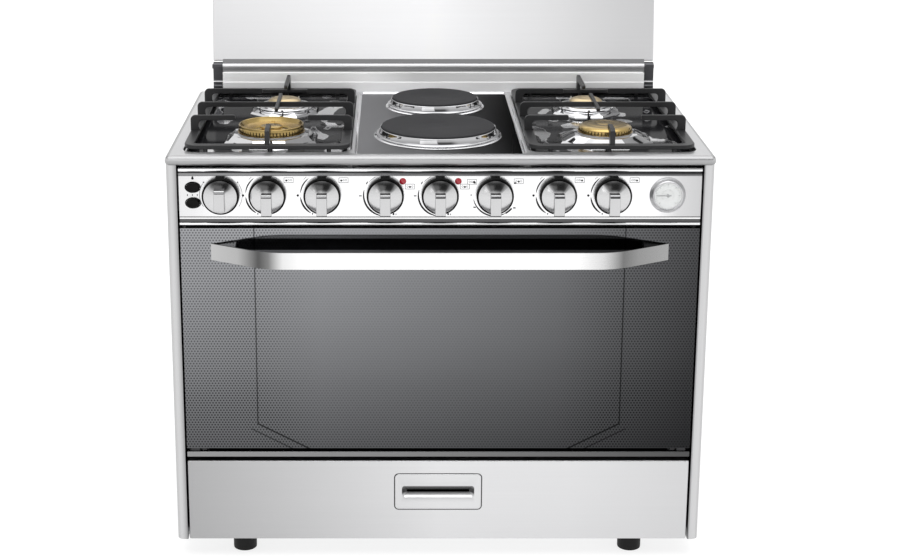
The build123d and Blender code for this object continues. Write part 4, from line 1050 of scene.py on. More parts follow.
@dataclass
class Hob(Assembly):
    """Pressed hob sheet with its wells, tray, burner dishes and hotplate bosses."""

    half_width: float = 500.0
    depth: float = HOB_DEPTH
    rim: float = RIM
    skirt: float = 18.0
    corner: float = 9.0
    nose: float = 8.5
    well_inner: float = 162.0
    well_outer: float = 473.0
    well_front: float = 36.0
    recess_rear: float = 586.0
    well_corner: float = 24.0
    well_depth: float = 7.0
    tray_half: float = 157.0
    tray_front: float = 22.0
    tray_depth: float = 4.0
    dishes: Tuple[Tuple[float, float, float, float], ...] = (
        (-317.0, 171.0, 94.0, 70.0), (-307.0, 425.0, 74.0, 44.0), (317.0, 171.0, 94.0, 58.5),
        (307.0, 425.0, 74.0, 44.0))
    rise: float = 6.0
    plates: Tuple[Point, ...] = ((193.0, 108.0), (462.0, 87.0))
    # Painted reflections: the finish of each eighth of a dish's flanks, from the right going round towards the back.
    shades: Tuple[int, ...] = (5, 5, 1, 5, 6, 1, 1, 5)

    def octagon(self, bench: Bench, x: float, y: float, radius: float, height: float) -> Face:
        """An eight-sided face that looks up.

        Args:
            bench: where it is made.
            x: its middle across.
            y: its middle from the front.
            radius: the radius of its corners.
            height: where it lies.

        Returns:
            The face.
        """
        place = Matrix.Translation((x, y, height)) @ Matrix.Rotation(math.radians(22.5), 4, "Z")
        made = bmesh.ops.create_circle(bench.work, cap_ends=True, segments=8, radius=radius, matrix=place)["verts"]
        return made[0].link_faces[0]

    def build_sheet(self) -> Piece:
        """Shapes the sheet with its pressed recesses.

        Returns:
            The sheet.
        """
        bench = Bench()
        foot = self.rim - self.skirt
        bench.block((-self.half_width, 0, foot), (self.half_width, self.depth, self.rim))
        uprights = [edge for edge in bench.work.edges if abs(edge.verts[0].co.z - edge.verts[1].co.z) > 1]
        bench.bevel(uprights, self.corner, 7)
        ends = sorted(bench.work.faces, key=lambda face: face.calc_center_median().z)
        bench.bevel([*ends[0].edges, *ends[-1].edges], self.nose, 7)
        flats = [face for face in bench.work.faces if abs(face.normal.z) > 0.99 and face.calc_area() > 1e5]
        top = max(flats, key=lambda face: face.calc_center_median().z)
        bottom = min(flats, key=lambda face: face.calc_center_median().z)
        bench.drop([bottom])
        # Painted light and shade: the turned-down edge and bullnose take the nose finish, whose fade paints bands down
        # it.
        bench.paint(bench.work.faces[:], 2, [(foot, self.rim - 0.05, 4)])
        tray = bench.loop((-self.tray_half, self.tray_front), (self.tray_half, self.recess_rear), 14.0, self.rim)
        wells = [bench.loop((low, self.well_front), (high, self.recess_rear), self.well_corner, self.rim)
                 for low, high in ((-self.well_outer, -self.well_inner), (self.well_inner, self.well_outer))]
        bench.fill_round(top, [tray, *wells], 0)
        tray.material_index = 2
        bench.sink(tray, ((1.0, -0.4), (1.5, -1.6), (1.5, -1.4), (1.2, -0.6)), 1)
        for well, side in zip(wells, (-1, 1)):
            well.material_index = 3
            bench.sink(well, ((1.2, -0.3), (1.6, -1.2), (2.0, -2.4), (2.0, -2.2), (1.6, -0.9)), 1)
            here = [dish for dish in self.dishes if dish[0] * side > 0]
            eights = [self.octagon(bench, x, y, base, self.rim - self.well_depth) for x, y, base, _ in here]
            bench.fill_round(well, eights, 3)
            for dish, (_, _, base, top_radius) in zip(eights, here):
                dish.material_index = 1
                slope = base * math.cos(math.radians(22.5)) - 7.6 - top_radius
                steps = ((3.0, 3.6), (2.0, 0.6), (1.6, -1.2), (slope, self.well_depth + self.rise - 3.4), (1.0, 0.4))
                before = set(bench.work.faces)
                bench.sink(dish, steps, 1)
                self.paint_reflections(dish, [face for face in bench.work.faces if face not in before])
        return bench.make("hob_sheet", 24.0, False)

    def paint_reflections(self, dish: Face, walls: Sequence[Face]) -> None:
        """Paints the eight flanks of a dish in different shades, as painted reflections of the parts of the room that
        each flank would mirror.

        Args:
            dish: the dish's middle.
            walls: the faces round it.
        """
        middle = dish.calc_center_median()
        for wall in walls:
            away = wall.calc_center_median() - middle
            eighth = round(math.degrees(math.atan2(away.y, away.x)) / 45.0) % 8
            wall.material_index = self.shades[eighth]

    def build_bosses(self) -> Piece:
        """Turns the raised bosses under the hotplates and the spun discs of the rear burners.

        Returns:
            The bosses.
        """
        bench = Bench()
        floor = self.rim - self.tray_depth
        for y, radius in self.plates:
            outline = [(radius + 14.0, 0.0), (radius + 12.5, 0.5), (radius + 9.0, 3.5), (radius + 7.5, 4.6),
                       (radius - 12.0, 4.8)]
            bench.turned(outline, (0, y, floor), steps=96)
        for x, y, _, _ in self.dishes[1::2]:
            outline = [(56.0, -4.0), (57.5, 1.5), (57.7, 4.4), (56.5, 5.8), (54.0, 6.4), (47.0, 4.6), (38.0, 4.4),
                       (30.0, 5.8)]
            bench.turned(outline, (x, y, self.rim), steps=72)
        return bench.make("pressed_bosses", 35.0, False)

    def build_clips(self) -> Piece:
        """Cuts the small square clips that stand in the wells beside the tray.

        Returns:
            The clips.
        """
        bench = Bench()
        floor = self.rim - self.well_depth
        for side in (-1, 1):
            for x, y in ((192.0, 302.0), (224.0, 302.0), (256.0, 330.0), (190.0, 152.0), (222.0, 152.0)):
                bench.block((side * x - 4.5, y - 9.0, floor - 1.0), (side * x + 4.5, y + 9.0, floor + 1.2), 0.8)
        return bench.make("well_clips")

    def dress(self) -> None:
        """Builds and finishes the hob's pieces."""
        finishes = (HOB_SATIN, DISH, HOB_TRAY, HOB_WELL, HOB_NOSE, DISH_GREY_REFLECTION, DISH_DARK_REFLECTION)
        self.fit(self.build_sheet(), finishes, "cabinet", "satin_steel", ["hob_top"])
        self.fit(self.build_bosses(), (DISH,), "cabinet", "polished_steel")
        self.fit(self.build_clips(), (GLOSS_BLACK,), "cabinet", "black_plastic")


@dataclass
class PanSupport(Assembly):
    """One pan support of bent flat bar."""

    side: int = 1
    low_x: float = 164.0
    high_x: float = 471.0
    front: float = 50.0
    rear: float = 584.0
    base: float = 796.0
    bar: float = 18.0
    bar_height: float = 8.0
    crest: float = 833.0
    finger: float = 6.0
    finger_height: float = 10.0
    rows: Tuple[Spot, ...] = ((180.0, 317.0, 69.0), (302.0, 312.0, 0.0), (434.0, 307.0, 45.0))
    fins: Tuple[Tuple[float, float, float, Optional[str], float], ...] = (
        (317.0, 50.0, 101.0, "near", 9.0), (312.0, 243.0, 387.0, None, 7.0), (307.0, 463.0, 584.0, "far", 7.0))
    bend: float = 9.0
    corner: float = 26.0
    foot: float = 8.0

    def finger_outline(self, leg: float, tip: float) -> List[Point]:
        """Front view of a finger with its bent leg.

        Args:
            leg: where the leg stands on the frame.
            tip: where the finger ends.

        Returns:
            The outline's points.
        """
        way = 1 if tip > leg else -1
        under = self.crest - self.finger_height
        turns = [math.radians(15 * step) for step in range(7)]
        outside = [(leg + way * self.bend * (1 - math.cos(t)), self.crest - self.bend * (1 - math.sin(t)))
                   for t in turns]
        end = [(tip - way * 2.5, self.crest), (tip - way * 0.7, self.crest - 0.8), (tip, self.crest - 2.5),
               (tip, under + 2.5), (tip - way * 0.7, under + 0.8), (tip - way * 2.5, under)]
        inner = self.bend - 1.0
        corner = leg + way * (self.bar - 3.0 + inner)
        inside = [(corner - way * inner * math.sin(t), under - inner * (1 - math.cos(t))) for t in turns]
        low = self.base + self.bar_height - 2.0
        edge = leg + way * self.bar
        flare = [(edge - way * 3.0, low + 9.0), (edge, low + 2.0), (edge, low)]
        points = outside + end + inside + flare + [(leg, low)]
        return points if way < 0 else points[::-1]

    def fin_outline(self, near: float, far: float, leg: Optional[str]) -> List[Point]:
        """Side view of a lengthways fin.

        Args:
            near: its front end.
            far: its rear end.
            leg: which end has a leg on the frame.

        Returns:
            The outline's points.
        """
        top = self.crest + 1.0
        under = self.crest - self.finger_height
        low = self.base + self.bar_height - 2.0
        if leg is None:
            return [(near, under + 3.0), (far, under + 3.0), (far + 1.0, top - 2.0), (far - 4.0, top),
                    (near + 4.0, top), (near - 1.0, top - 2.0)]
        foot = near if leg == "near" else far
        tip = far if leg == "near" else near
        way = 1 if leg == "near" else -1
        outline = [(1.0, low), (self.bar, low), (self.bar + 5.0, under - 6.0), (self.bar + 14.0, under),
                   (abs(tip - foot), under + 2.0), (abs(tip - foot) + 1.0, top - 2.0), (abs(tip - foot) - 3.0, top),
                   (10.0, top), (3.0, top - 4.0), (1.0, top - 12.0)]
        return [(foot + way * y, z) for y, z in outline[::way]]

    def build(self) -> Piece:
        """Bends and joins the bars.

        Returns:
            The pan support.
        """
        bench = Bench()
        ring = bench.loop((self.low_x, self.front), (self.high_x, self.rear), self.corner, self.base)
        bmesh.ops.inset_region(bench.work, faces=[ring], thickness=self.bar, use_even_offset=True, use_boundary=True)
        bench.drop([ring])
        grown = bmesh.ops.extrude_face_region(bench.work, geom=bench.work.faces[:])["geom"]
        lifted = [part for part in grown if isinstance(part, Corner)]
        bmesh.ops.translate(bench.work, vec=(0, 0, self.bar_height), verts=lifted)
        bmesh.ops.recalc_face_normals(bench.work, faces=bench.work.faces[:])
        bench.ease(bench.work.faces[:], 1.8, 3)
        for y, middle, gap in self.rows:
            at = (0, y + self.finger / 2, 0)
            reach = gap if gap else -2.0
            for leg, tip in ((self.low_x, middle - reach), (self.high_x, middle + reach)):
                bench.prism(self.finger_outline(leg, tip), self.finger, Facing.FRONT, at, 0.9)
        for middle, near, far, leg, width in self.fins:
            bench.prism(self.fin_outline(near, far, leg), width, Facing.RIGHT, (middle - width / 2, 0, 0), 1.2)
        for x in (self.low_x + 40.0, self.fins[1][0], self.high_x - 40.0):
            for y in (self.front + self.bar / 2, self.rear - self.bar / 2):
                outline = [(0.0, 0.0), (3.4, 0.0), (4.0, 1.0), (4.0, self.foot - 1.0), (3.2, self.foot + 0.5)]
                bench.turned(outline, (x, y, self.base - self.foot), steps=16)
        if self.side < 0:
            bmesh.ops.scale(bench.work, vec=(-1, 1, 1), verts=bench.work.verts[:])
            bmesh.ops.reverse_faces(bench.work, faces=bench.work.faces[:])
        return bench.make("right_support_bars" if self.side > 0 else "left_support_bars")

    def dress(self) -> None:
        """Builds and finishes the support."""
        name = "right" if self.side > 0 else "left"
        self.fit(self.build(), (IRON_ENAMEL,), f"{name}_support", "black_enamel", [f"{name}_pan_support"])


@dataclass
class Burner(Assembly):
    """One brass burner crown."""

    name: str = "left_front"
    x: float = -317.0
    y: float = 171.0
    radius: float = 62.0
    slots: int = 44
    open_middle: bool = False
    seat: float = 804.0
    height: float = 15.0
    finish: Finish = BRASS

    def cut_slots(self, bench: Bench, ring: Sequence[Face], low: float, high: float) -> None:
        """Cuts the flame slots into every third flat of the outer wall.

        Args:
            bench: where the crown is.
            ring: its faces.
            low: the slots' foot above the seat.
            high: the slots' top above the seat.
        """
        wall = []
        for face in ring:
            centre = face.calc_center_median()
            across = math.hypot(centre.x - self.x, centre.y - self.y)
            if across > self.radius - 1.0 and self.seat + low < centre.z < self.seat + high:
                wall.append((math.atan2(centre.y - self.y, centre.x - self.x), face))
        wall.sort(key=lambda pair: pair[0])
        cut = [face for index, (_, face) in enumerate(wall) if index % 3 == 0]
        walls = bmesh.ops.inset_individual(bench.work, faces=cut, thickness=0.2, depth=-3.5, use_even_offset=True)
        # Painted shade: the slots' floors and walls take the dark brass.
        for face in [*cut, *walls["faces"]]:
            face.material_index = 1

    def build_ring(self, bench: Bench) -> None:
        """Turns the large open crown with its middle cap and spokes.

        Args:
            bench: where it is made.
        """
        at = (self.x, self.y, self.seat)
        r, h = self.radius, self.height
        outline = [(r - 12.0, 0.0), (r + 2.0, 0.0), (r + 2.0, 1.2), (r, 1.6), (r, 8.6), (r - 0.2, 9.0),
                   (r - 0.2, h - 1.6), (r - 1.0, h - 0.3), (r - 2.2, h), (r - 3.4, h - 0.6), (r - 5.0, h - 3.5),
                   (r - 8.0, 7.0), (r - 14.0, 4.6), (r - 24.0, 3.4), (r - 26.0, 0.5)]
        ring = bench.turned(outline, at, steps=self.slots * 3, closed=True)
        self.cut_slots(bench, ring, 2.0, 8.2)
        cap = [(0.0, 12.5), (10.0, 12.3), (17.0, 11.6), (20.5, 10.0), (21.5, 7.0), (21.5, 4.0), (23.0, 2.0),
               (25.0, 1.0)]
        bench.turned(cap, at, steps=48)
        for turn in range(3):
            spoke = bench.block((8.0, -4.0, 0.5), (r - 6.0, 4.0, 7.5), 1.2)
            bench.move(spoke, Matrix.Translation(at) @ Matrix.Rotation(math.radians(90 + 120 * turn), 4, "Z"))

    def build_dome(self, bench: Bench) -> None:
        """Turns a closed crown with its low dome and pressed grooves.

        Args:
            bench: where it is made.
        """
        at = (self.x, self.y, self.seat)
        r, h = self.radius, self.height
        shoulder = 0.5 * h
        outline = [(0.0, h + 1.2), (r * 0.3, h + 1.0), (r * 0.34, h + 0.4), (r * 0.38, h + 0.9), (r * 0.66, h - 0.2),
                   (r * 0.7, h - 0.9), (r * 0.74, h - 0.6), (r * 0.86, h - 2.0), (r - 2.6, h - 4.0),
                   (r - 0.5, shoulder + 1.0), (r, shoulder), (r, 1.6), (r + 1.6, 1.2), (r + 1.6, 0.0), (r - 10.0, 0.0),
                   (0.0, 0.0)]
        ring = bench.turned(outline, at, steps=self.slots * 3)
        self.cut_slots(bench, ring, 2.0, shoulder)

    def build(self) -> Piece:
        """Turns the crown and cuts its flame slots.

        Returns:
            The crown.
        """
        bench = Bench()
        (self.build_ring if self.open_middle else self.build_dome)(bench)
        return bench.make(f"{self.name}_brass", 30.0, False)

    def dress(self) -> None:
        """Builds and finishes the crown."""
        self.fit(self.build(), (self.finish, SLOT_SHADE_BRASS), f"{self.name}_burner", "burner_brass", [f"{self.name}_crown"])


@dataclass
class Hotplates(Assembly):
    """The two sealed hotplates with their spill rings."""

    rim: float = RIM
    top: float = 16.0
    iron: float = 12.0
    plates: Tuple[Tuple[str, float, float], ...] = (("front", 193.0, 108.0), ("rear", 462.0, 87.0))

    def build_plate(self, name: str, y: float, radius: float) -> Piece:
        """Turns one cast plate with its heater pot.

        Args:
            name: which plate it is.
            y: its middle from the front.
            radius: its radius.

        Returns:
            The plate.
        """
        bench = Bench()
        r = radius
        outline = [(0.0, 11.2), (24.0, 11.2), (26.0, 11.8), (r - 6.0, self.iron), (r - 2.4, 11.9), (r - 0.7, 11.2),
                   (r - 0.1, 9.6), (r, 0.6), (r - 10.0, 0.0), (r - 12.0, 4.0), (62.0, 4.0), (62.0, -4.0),
                   (30.0, -6.0), (30.0, -16.0), (0.0, -16.0)]
        bench.turned(outline, (0, y, self.rim + self.top - self.iron), steps=96)
        return bench.make(f"{name}_hotplate_iron", 35.0, False)

    def build_ring(self, name: str, y: float, radius: float) -> Piece:
        """Turns one spill ring.

        Args:
            name: which plate it belongs to.
            y: its middle from the front.
            radius: the plate's radius.

        Returns:
            The ring.
        """
        bench = Bench()
        r = radius + 0.4
        outline = [(r, 8.0), (r, 12.0), (r + 1.0, 12.6), (r + 2.2, 12.0), (r + 2.6, 10.4), (r + 3.2, 5.0),
                   (r + 4.4, 2.6), (r + 7.2, 2.2), (r + 9.6, 1.6), (r + 10.6, 0.4), (r + 10.2, -0.8),
                   (r + 7.0, -1.6), (r + 3.0, -2.2), (r + 1.0, -2.4), (r - 6.0, -2.4), (r - 6.0, 3.0)]
        bench.turned(outline, (0, y, self.rim), steps=112, closed=True)
        return bench.make(f"{name}_spill_ring", 40.0, False)

    def dress(self) -> None:
        """Builds and finishes plates and rings."""
        nodes = {"front": (["hotplates"], ["hotplate_rings"]), "rear": ([], [])}
        for name, y, radius in self.plates:
            iron = TurnedIron(f"{name}_hotplate_iron", (0.0, HOB_FRONT + y / 1000, 0.0))
            plate, ring = nodes[name]
            self.fit(self.build_plate(name, y, radius), (iron,), "cabinet", "hotplate_iron", plate)
            self.fit(self.build_ring(name, y, radius), (MIRROR,), "cabinet", "polished_steel", ring)


# Control panel


class PrintBench(Bench):
    """A bench for thin prints on an upright face."""

    def __init__(self, level: float) -> None:
        """Starts with nothing on the bench.

        Args:
            level: the face that is printed on.
        """
        super().__init__()
        self.level = level

    def ink(self, outline: Sequence[Point], slot: int = 0) -> None:
        """Prints an outline with one of the print's inks."""
        self.prism(outline, PRINT_DEPTH, Facing.FRONT, (0, self.level, 0), slot=slot)

    def arc(self, centre: Point, radius: float, width: float, start: float, end: float, slot: int = 0,
            taper: bool = False) -> None:
        """Prints an arc.

        Args:
            centre: the arc's middle, across and up.
            radius: its radius.
            width: the line's width.
            start: its first angle in degrees.
            end: its last angle in degrees.
            slot: the number of its ink.
            taper: whether it thins out towards its ends.
        """
        steps = max(4, int(abs(end - start) / 6))
        outer: List[Point] = []
        inner: List[Point] = []
        for step in range(steps + 1):
            share = step / steps
            half = width / 2 * (0.25 + 0.75 * math.sin(math.pi * share) ** 0.6 if taper else 1.0)
            turn = math.radians(start + (end - start) * share)
            way = (math.cos(turn), math.sin(turn))
            outer.append((centre[0] + (radius + half) * way[0], centre[1] + (radius + half) * way[1]))
            inner.append((centre[0] + (radius - half) * way[0], centre[1] + (radius - half) * way[1]))
        self.ink(outer + inner[::-1], slot)

    def dot(self, centre: Point, reach: float, angle: float, radius: float) -> None:
        """Prints a dot at an angle round a centre.

        Args:
            centre: the middle that it goes round.
            reach: its distance from there.
            angle: its angle in degrees.
            radius: its radius.
        """
        turn = math.radians(angle)
        spot = (centre[0] + reach * math.cos(turn), centre[1] + reach * math.sin(turn))
        self.ink(arc(spot, radius, 0, 330, 11))

    def bar(self, middle: Point, width: float, height: float, slot: int = 0) -> None:
        """Prints a small upright block.

        Args:
            middle: its middle, across and up.
            width: its width.
            height: its height.
            slot: the number of its ink.
        """
        (x, z), w, h = middle, width / 2, height / 2
        self.ink([(x - w, z - h), (x + w, z - h), (x + w, z + h), (x - w, z + h)], slot)

    def frame(self, x: float, z: float, place: float) -> None:
        """Prints a small frame with rings and a dot, which tells what a knob works.

        Args:
            x: its middle across.
            z: its middle height.
            place: where the dot stands across.
        """
        w, h, line = 8.4, 4.6, 0.8
        for middle, width, height in (((x, z - h), 2 * w, line), ((x, z + h), 2 * w, line), ((x - w, z), line, 2 * h),
                                      ((x + w, z), line, 2 * h)):
            self.bar(middle, width, height, 1)
        for spot in (-4.2, 0.0, 4.2):
            if spot != place:
                self.arc((x + spot, z), 1.5, 0.6, 0, 350, 1)
        self.dot((x + place, z - 0.6), 0.0, 0.0, 1.9)


@dataclass(frozen=True)
class KnobPrint:
    """The marks round one kind of knob: arcs and dots by their reach past the ring, bars and frames by their place."""

    arcs: Tuple[Tuple[float, float, float, float, int, bool], ...]
    bars: Tuple[Tuple[float, float, float, float, int], ...] = ()
    dots: Tuple[Spot, ...] = ()
    frames: Tuple[Spot, ...] = ()


GAS_ARCS = ((0.0, 2.4, 128, 174, 0, True), (0.0, 3.4, 186, 238, 0, True), (4.6, 0.8, 130, 139, 1, False))
GAS_DOTS = ((4.6, 181, 2.2), (0.0, 243, 1.4))
LEFT_PRINT = KnobPrint(GAS_ARCS, (), GAS_DOTS, ((39.0, 28.0, -4.2),))
RIGHT_PRINT = KnobPrint(GAS_ARCS, (), GAS_DOTS, ((39.0, 28.0, 4.2),))
PLAIN_PRINT = KnobPrint(((-1.0, 0.8, 146, 214, 1, False), (-1.0, 0.8, -34, 34, 1, False)),
                        ((31.0, 24.0, 2.6, 2.6, 1), (-31.0, 24.0, 2.6, 2.6, 1)))
PLATE_PRINT = KnobPrint(
    ((-0.3, 3.4, 166, 262, 0, True), (0.5, 2.0, 141, 150, 0, True), (-1.5, 0.8, 116, 139, 1, False)),
    ((-45.5, -1.5, 5.0, 2.0, 1), (15.0, -36.0, 3.2, 3.6, 0), (19.5, -36.5, 1.4, 3.0, 0)), (), ((45.0, 16.0, 0.0),))
OVEN_PRINT = KnobPrint(
    ((-0.4, 2.8, 192, 300, 0, True), (-0.2, 3.0, 300, 321, 0, False)),
    tuple((43.4 * math.cos(math.radians(turn)), 43.4 * math.sin(math.radians(turn)), length, 2.2, 0)
          for turn, length in ((148, 3.4), (180, 2.2), (212, 4.4), (326, 4.4), (32, 3.4))), (),
    ((43.0, 26.0, 0.0), (-42.0, 25.0, 3.5)))


@dataclass
class ControlPanel(Assembly):
    """Pressed fascia with its lamps, buttons, thermometer and printed marks."""

    half_width: float = HALF_FRONT
    face: float = PANEL_FACE
    top: float = 772.0
    bottom: float = 662.4
    back: float = 46.0
    bead: float = 8.6
    groove: float = 1.6
    cove: float = 6.2
    lip: float = 5.2
    band: float = 7.4
    strip: float = 4.4
    knob_z: float = KNOB_HEIGHT
    knob_x: Tuple[float, ...] = (-400.0, -315.0, -215.0, -100.0, 0.0, 100.0, 215.0, 315.0)
    prints: Tuple[KnobPrint, ...] = (
        PLAIN_PRINT, LEFT_PRINT, LEFT_PRINT, PLATE_PRINT, PLATE_PRINT, OVEN_PRINT, RIGHT_PRINT, RIGHT_PRINT)
    lamps: Tuple[float, ...] = (-68.0, 33.0)
    lamp_z: float = 746.0
    lamp_radius: float = 6.3
    button_x: float = -451.0
    button_spread: float = 29.4
    button_half: float = 12.9
    button_flat: float = 0.71
    dial_x: float = 415.0
    dial_radius: float = 33.0
    skirt_radius: float = 34.0
    skirt_depth: float = 14.0
    tab_half: float = 8.6
    ring_of_marks: float = 40.0

    def build_fascia(self) -> Piece:
        """Rolls the fascia's section: a bead and cove above, a plain face, a strip, a sunk band and a lip below.

        Returns:
            The fascia.
        """
        bench = Bench()
        f, t, b = self.face, self.top, self.bottom
        bead_foot = t - self.bead
        cove_top = bead_foot - self.groove
        face_top = cove_top - self.cove
        lip_top = b + self.lip
        band_top = lip_top + self.band
        face_foot = band_top + self.strip
        bead = arc((f + 1.8, t - self.bead / 2), self.bead / 2, 90, 270, 14)
        lip = arc((f + 1.9, b + self.lip / 2), self.lip / 2, 90, 270, 8)
        section = [(self.back, b), (self.back, t)] + bead + [
            (f + 2.8, bead_foot - 0.2), (f + 2.8, cove_top), (f + 1.4, cove_top - 0.6), (f + 0.7, cove_top - 2.6),
            (f + 0.2, cove_top - 5.0), (f, face_top), (f, face_foot), (f + 1.4, face_foot - 0.1),
            (f + 1.4, face_foot - 1.7), (f + 0.1, face_foot - 1.8), (f + 0.1, band_top), (f + 3.0, band_top - 0.5),
            (f + 3.4, lip_top + 0.6)] + lip
        rolled = bench.prism(section, 2 * self.half_width, Facing.RIGHT, (-self.half_width, 0, 0))
        # Painted shade and reflection: the groove under the bead and the strip's upper step get near-black, the cove a
        # dark grey, and the sunk band a dark painted reflection. The bead, the strip and the lip keep bright polished
        # steel.
        bench.paint(rolled, 2, [
            (bead_foot, t - 0.02, 1), (cove_top, bead_foot, 2), (face_top, cove_top, 3),
            (face_foot - 1.75, face_foot, 2), (band_top, face_foot - 1.75, 1), (lip_top + 0.1, band_top, 4),
            (b + 0.02, lip_top + 0.1, 1)])
        return bench.make("fascia", 26.0)

    def build_skirts(self) -> Piece:
        """Turns the black rings behind the knobs, each with a small black tab on top that stands in for the grip's dark
        reflection in the fascia.

        Returns:
            The rings.
        """
        bench = Bench()
        r, d = self.skirt_radius, self.skirt_depth
        for x in self.knob_x:
            outline = [(24.0, 0.0), (r - 0.5, 0.0), (r, 0.6), (r, d - 1.6), (r - 0.8, d - 0.4), (r - 2.0, d),
                       (r - 3.6, d - 0.5), (r - 5.0, d - 2.4), (24.0, d - 3.0)]
            bench.turned(outline, (x, self.face, self.knob_z), Facing.FRONT, 72, True)
            # A dark block where there is only a reflection: the tab stands in for the grip's dark mirror image in the
            # polished fascia.
            bench.block((x - self.tab_half, self.face - d + 0.6, self.knob_z + r - 4.0),
                        (x + self.tab_half, self.face + 0.5, self.knob_z + r + 2.8), 1.0)
        return bench.make("knob_rings", 35.0, False)

    def build_lamps(self) -> Piece:
        """Turns the two lamp lenses.

        Returns:
            The lenses.
        """
        bench = Bench()
        for x in self.lamps:
            r = self.lamp_radius
            outline = [(0.0, 3.1), (2.5, 2.9), (r - 1.7, 2.2), (r - 0.5, 1.1), (r, 0.0), (r, -9.0), (0.0, -9.0)]
            bench.turned(outline, (x, self.face, self.lamp_z), Facing.FRONT, 32)
        return bench.make("lamp_lenses", 50.0, False)

    def build_button(self, upper: bool) -> Piece:
        """Turns one oval push button with its hollow front.

        Args:
            upper: whether it is the upper one.

        Returns:
            The button.
        """
        bench = Bench()
        r = self.button_half
        outline = [(0.0, 5.6), (r * 0.45, 5.9), (r * 0.7, 7.0), (r - 2.6, 8.0), (r - 1.4, 7.9), (r - 0.4, 7.0),
                   (r, 5.6), (r, -8.0), (0.0, -8.0)]
        self._press(bench, bench.turned(outline, (0, 0, 0), Facing.FRONT, 48), upper)
        return bench.make("ignition_button_cap" if upper else "light_button_cap", 50.0, False)

    def _press(self, bench: Bench, made: Sequence[Face], upper: bool) -> None:
        """Flattens a turned shape into an oval and sets it in a button's place.

        Args:
            bench: where it is made.
            made: its faces.
            upper: whether it belongs to the upper button.
        """
        z = self.knob_z + (self.button_spread / 2 if upper else -self.button_spread / 2)
        oval = Matrix.Diagonal((1.0, 1.0, self.button_flat, 1.0))
        bench.move(made, Matrix.Translation((self.button_x, self.face, z)) @ oval)

    def build_bezels(self) -> Piece:
        """Turns the thin black rims round the two push buttons.

        Returns:
            The rims.
        """
        bench = Bench()
        r = self.button_half + 0.25
        for upper in (True, False):
            outline = [(r, 0.0), (r + 1.7, 0.0), (r + 1.7, 0.6), (r + 1.2, 1.2), (r + 0.4, 1.2), (r, 0.6)]
            self._press(bench, bench.turned(outline, (0, 0, 0), Facing.FRONT, 48, True), upper)
        return bench.make("button_rims", 50.0, False)

    def build_dial(self) -> Piece:
        """Turns the thermometer's case and its white dial.

        Returns:
            The case.
        """
        bench = Bench()
        r = self.dial_radius
        at = (self.dial_x, self.face, self.knob_z)
        outline = [(27.0, -1.0), (r, 0.0), (r, 1.4), (r - 0.6, 2.2), (r - 2.4, 3.4), (r - 3.4, 5.4), (r - 5.0, 8.2),
                   (r - 6.2, 9.0), (r - 7.4, 8.6), (r - 8.0, 7.0), (r - 8.0, 3.6)]
        bench.turned(outline, at, Facing.FRONT, 80)
        bench.turned([(0.0, 3.9), (r - 8.0, 3.9)], at, Facing.FRONT, 80, slot=1)
        bench.turned([(0.0, -21.0), (27.0, -21.0), (27.0, -1.0)], at, Facing.FRONT, 48)
        return bench.make("dial_case", 40.0, False)

    def build_dial_print(self) -> Piece:
        """Prints the dial's ticks.

        Returns:
            The print.
        """
        bench = PrintBench(self.face - 3.9)
        centre = (self.dial_x, self.knob_z)
        for step in range(31):
            angle = 225 - 9 * step
            long_tick = step % 5 == 0
            span = 1.5 if long_tick else 0.8
            bench.arc(centre, 20.6 if long_tick else 21.6, 3.6 if long_tick else 1.8, angle - span, angle + span)
        bench.arc(centre, 11.0, 0.4, -40, 220)
        return bench.make("dial_ticks", weighted=False)

    def build_print(self) -> Piece:
        """Prints the marks round the knobs and buttons.

        Returns:
            The print.
        """
        bench = PrintBench(self.face)
        for x, marks in zip(self.knob_x, self.prints):
            centre = (x, self.knob_z)
            for out, width, start, end, slot, taper in marks.arcs:
                bench.arc(centre, self.ring_of_marks + out, width, start, end, slot, taper)
            for across, up, width, height, slot in marks.bars:
                bench.bar((x + across, self.knob_z + up), width, height, slot)
            for out, angle, radius in marks.dots:
                bench.dot(centre, self.ring_of_marks + out, angle, radius)
            for across, up, place in marks.frames:
                bench.frame(x + across, self.knob_z + up, place)
        for sign in (-10.0, -1.0, 8.0):
            bench.bar((self.button_x + sign, self.knob_z), 1.6, 3.0)
        foot = self.knob_z + 31.4
        bench.ink(arc((self.button_x, foot), 2.3, 150, 390, 12) + [(self.button_x, foot + 5.4)])
        return bench.make("printed_marks", weighted=False)

    def dress(self) -> None:
        """Builds and finishes the panel's pieces."""
        self.fit(self.build_fascia(), (FASCIA, BEAD, DEEP_SHADE, COVE_SHADE, SUNK_BAND_REFLECTION), "cabinet", "satin_steel",
                 ["control_panel"])
        self.fit(self.build_skirts(), (GLOSS_BLACK,), "cabinet", "black_plastic", ["knob_skirts"])
        self.fit(self.build_lamps(), (RED,), "cabinet", "red_lens", ["indicator_lamps"])
        self.fit(self.build_button(True), (DEEP_BLACK,), "ignition_button", "black_plastic", ["upper_button"])
        self.fit(self.build_button(False), (DEEP_BLACK,), "light_button", "black_plastic", ["lower_button"])
        self.fit(self.build_bezels(), (DEEP_BLACK,), "cabinet", "black_plastic")
        self.fit(self.build_dial(), (SATIN, DIAL_WHITE), "cabinet", "dial_steel", ["thermometer_case"])
        self.fit(self.build_dial_print(), (PALE_INK,), "cabinet", "pointer_black")
        self.fit(self.build_print(), (INK, PALE_INK), "cabinet", "pointer_black")


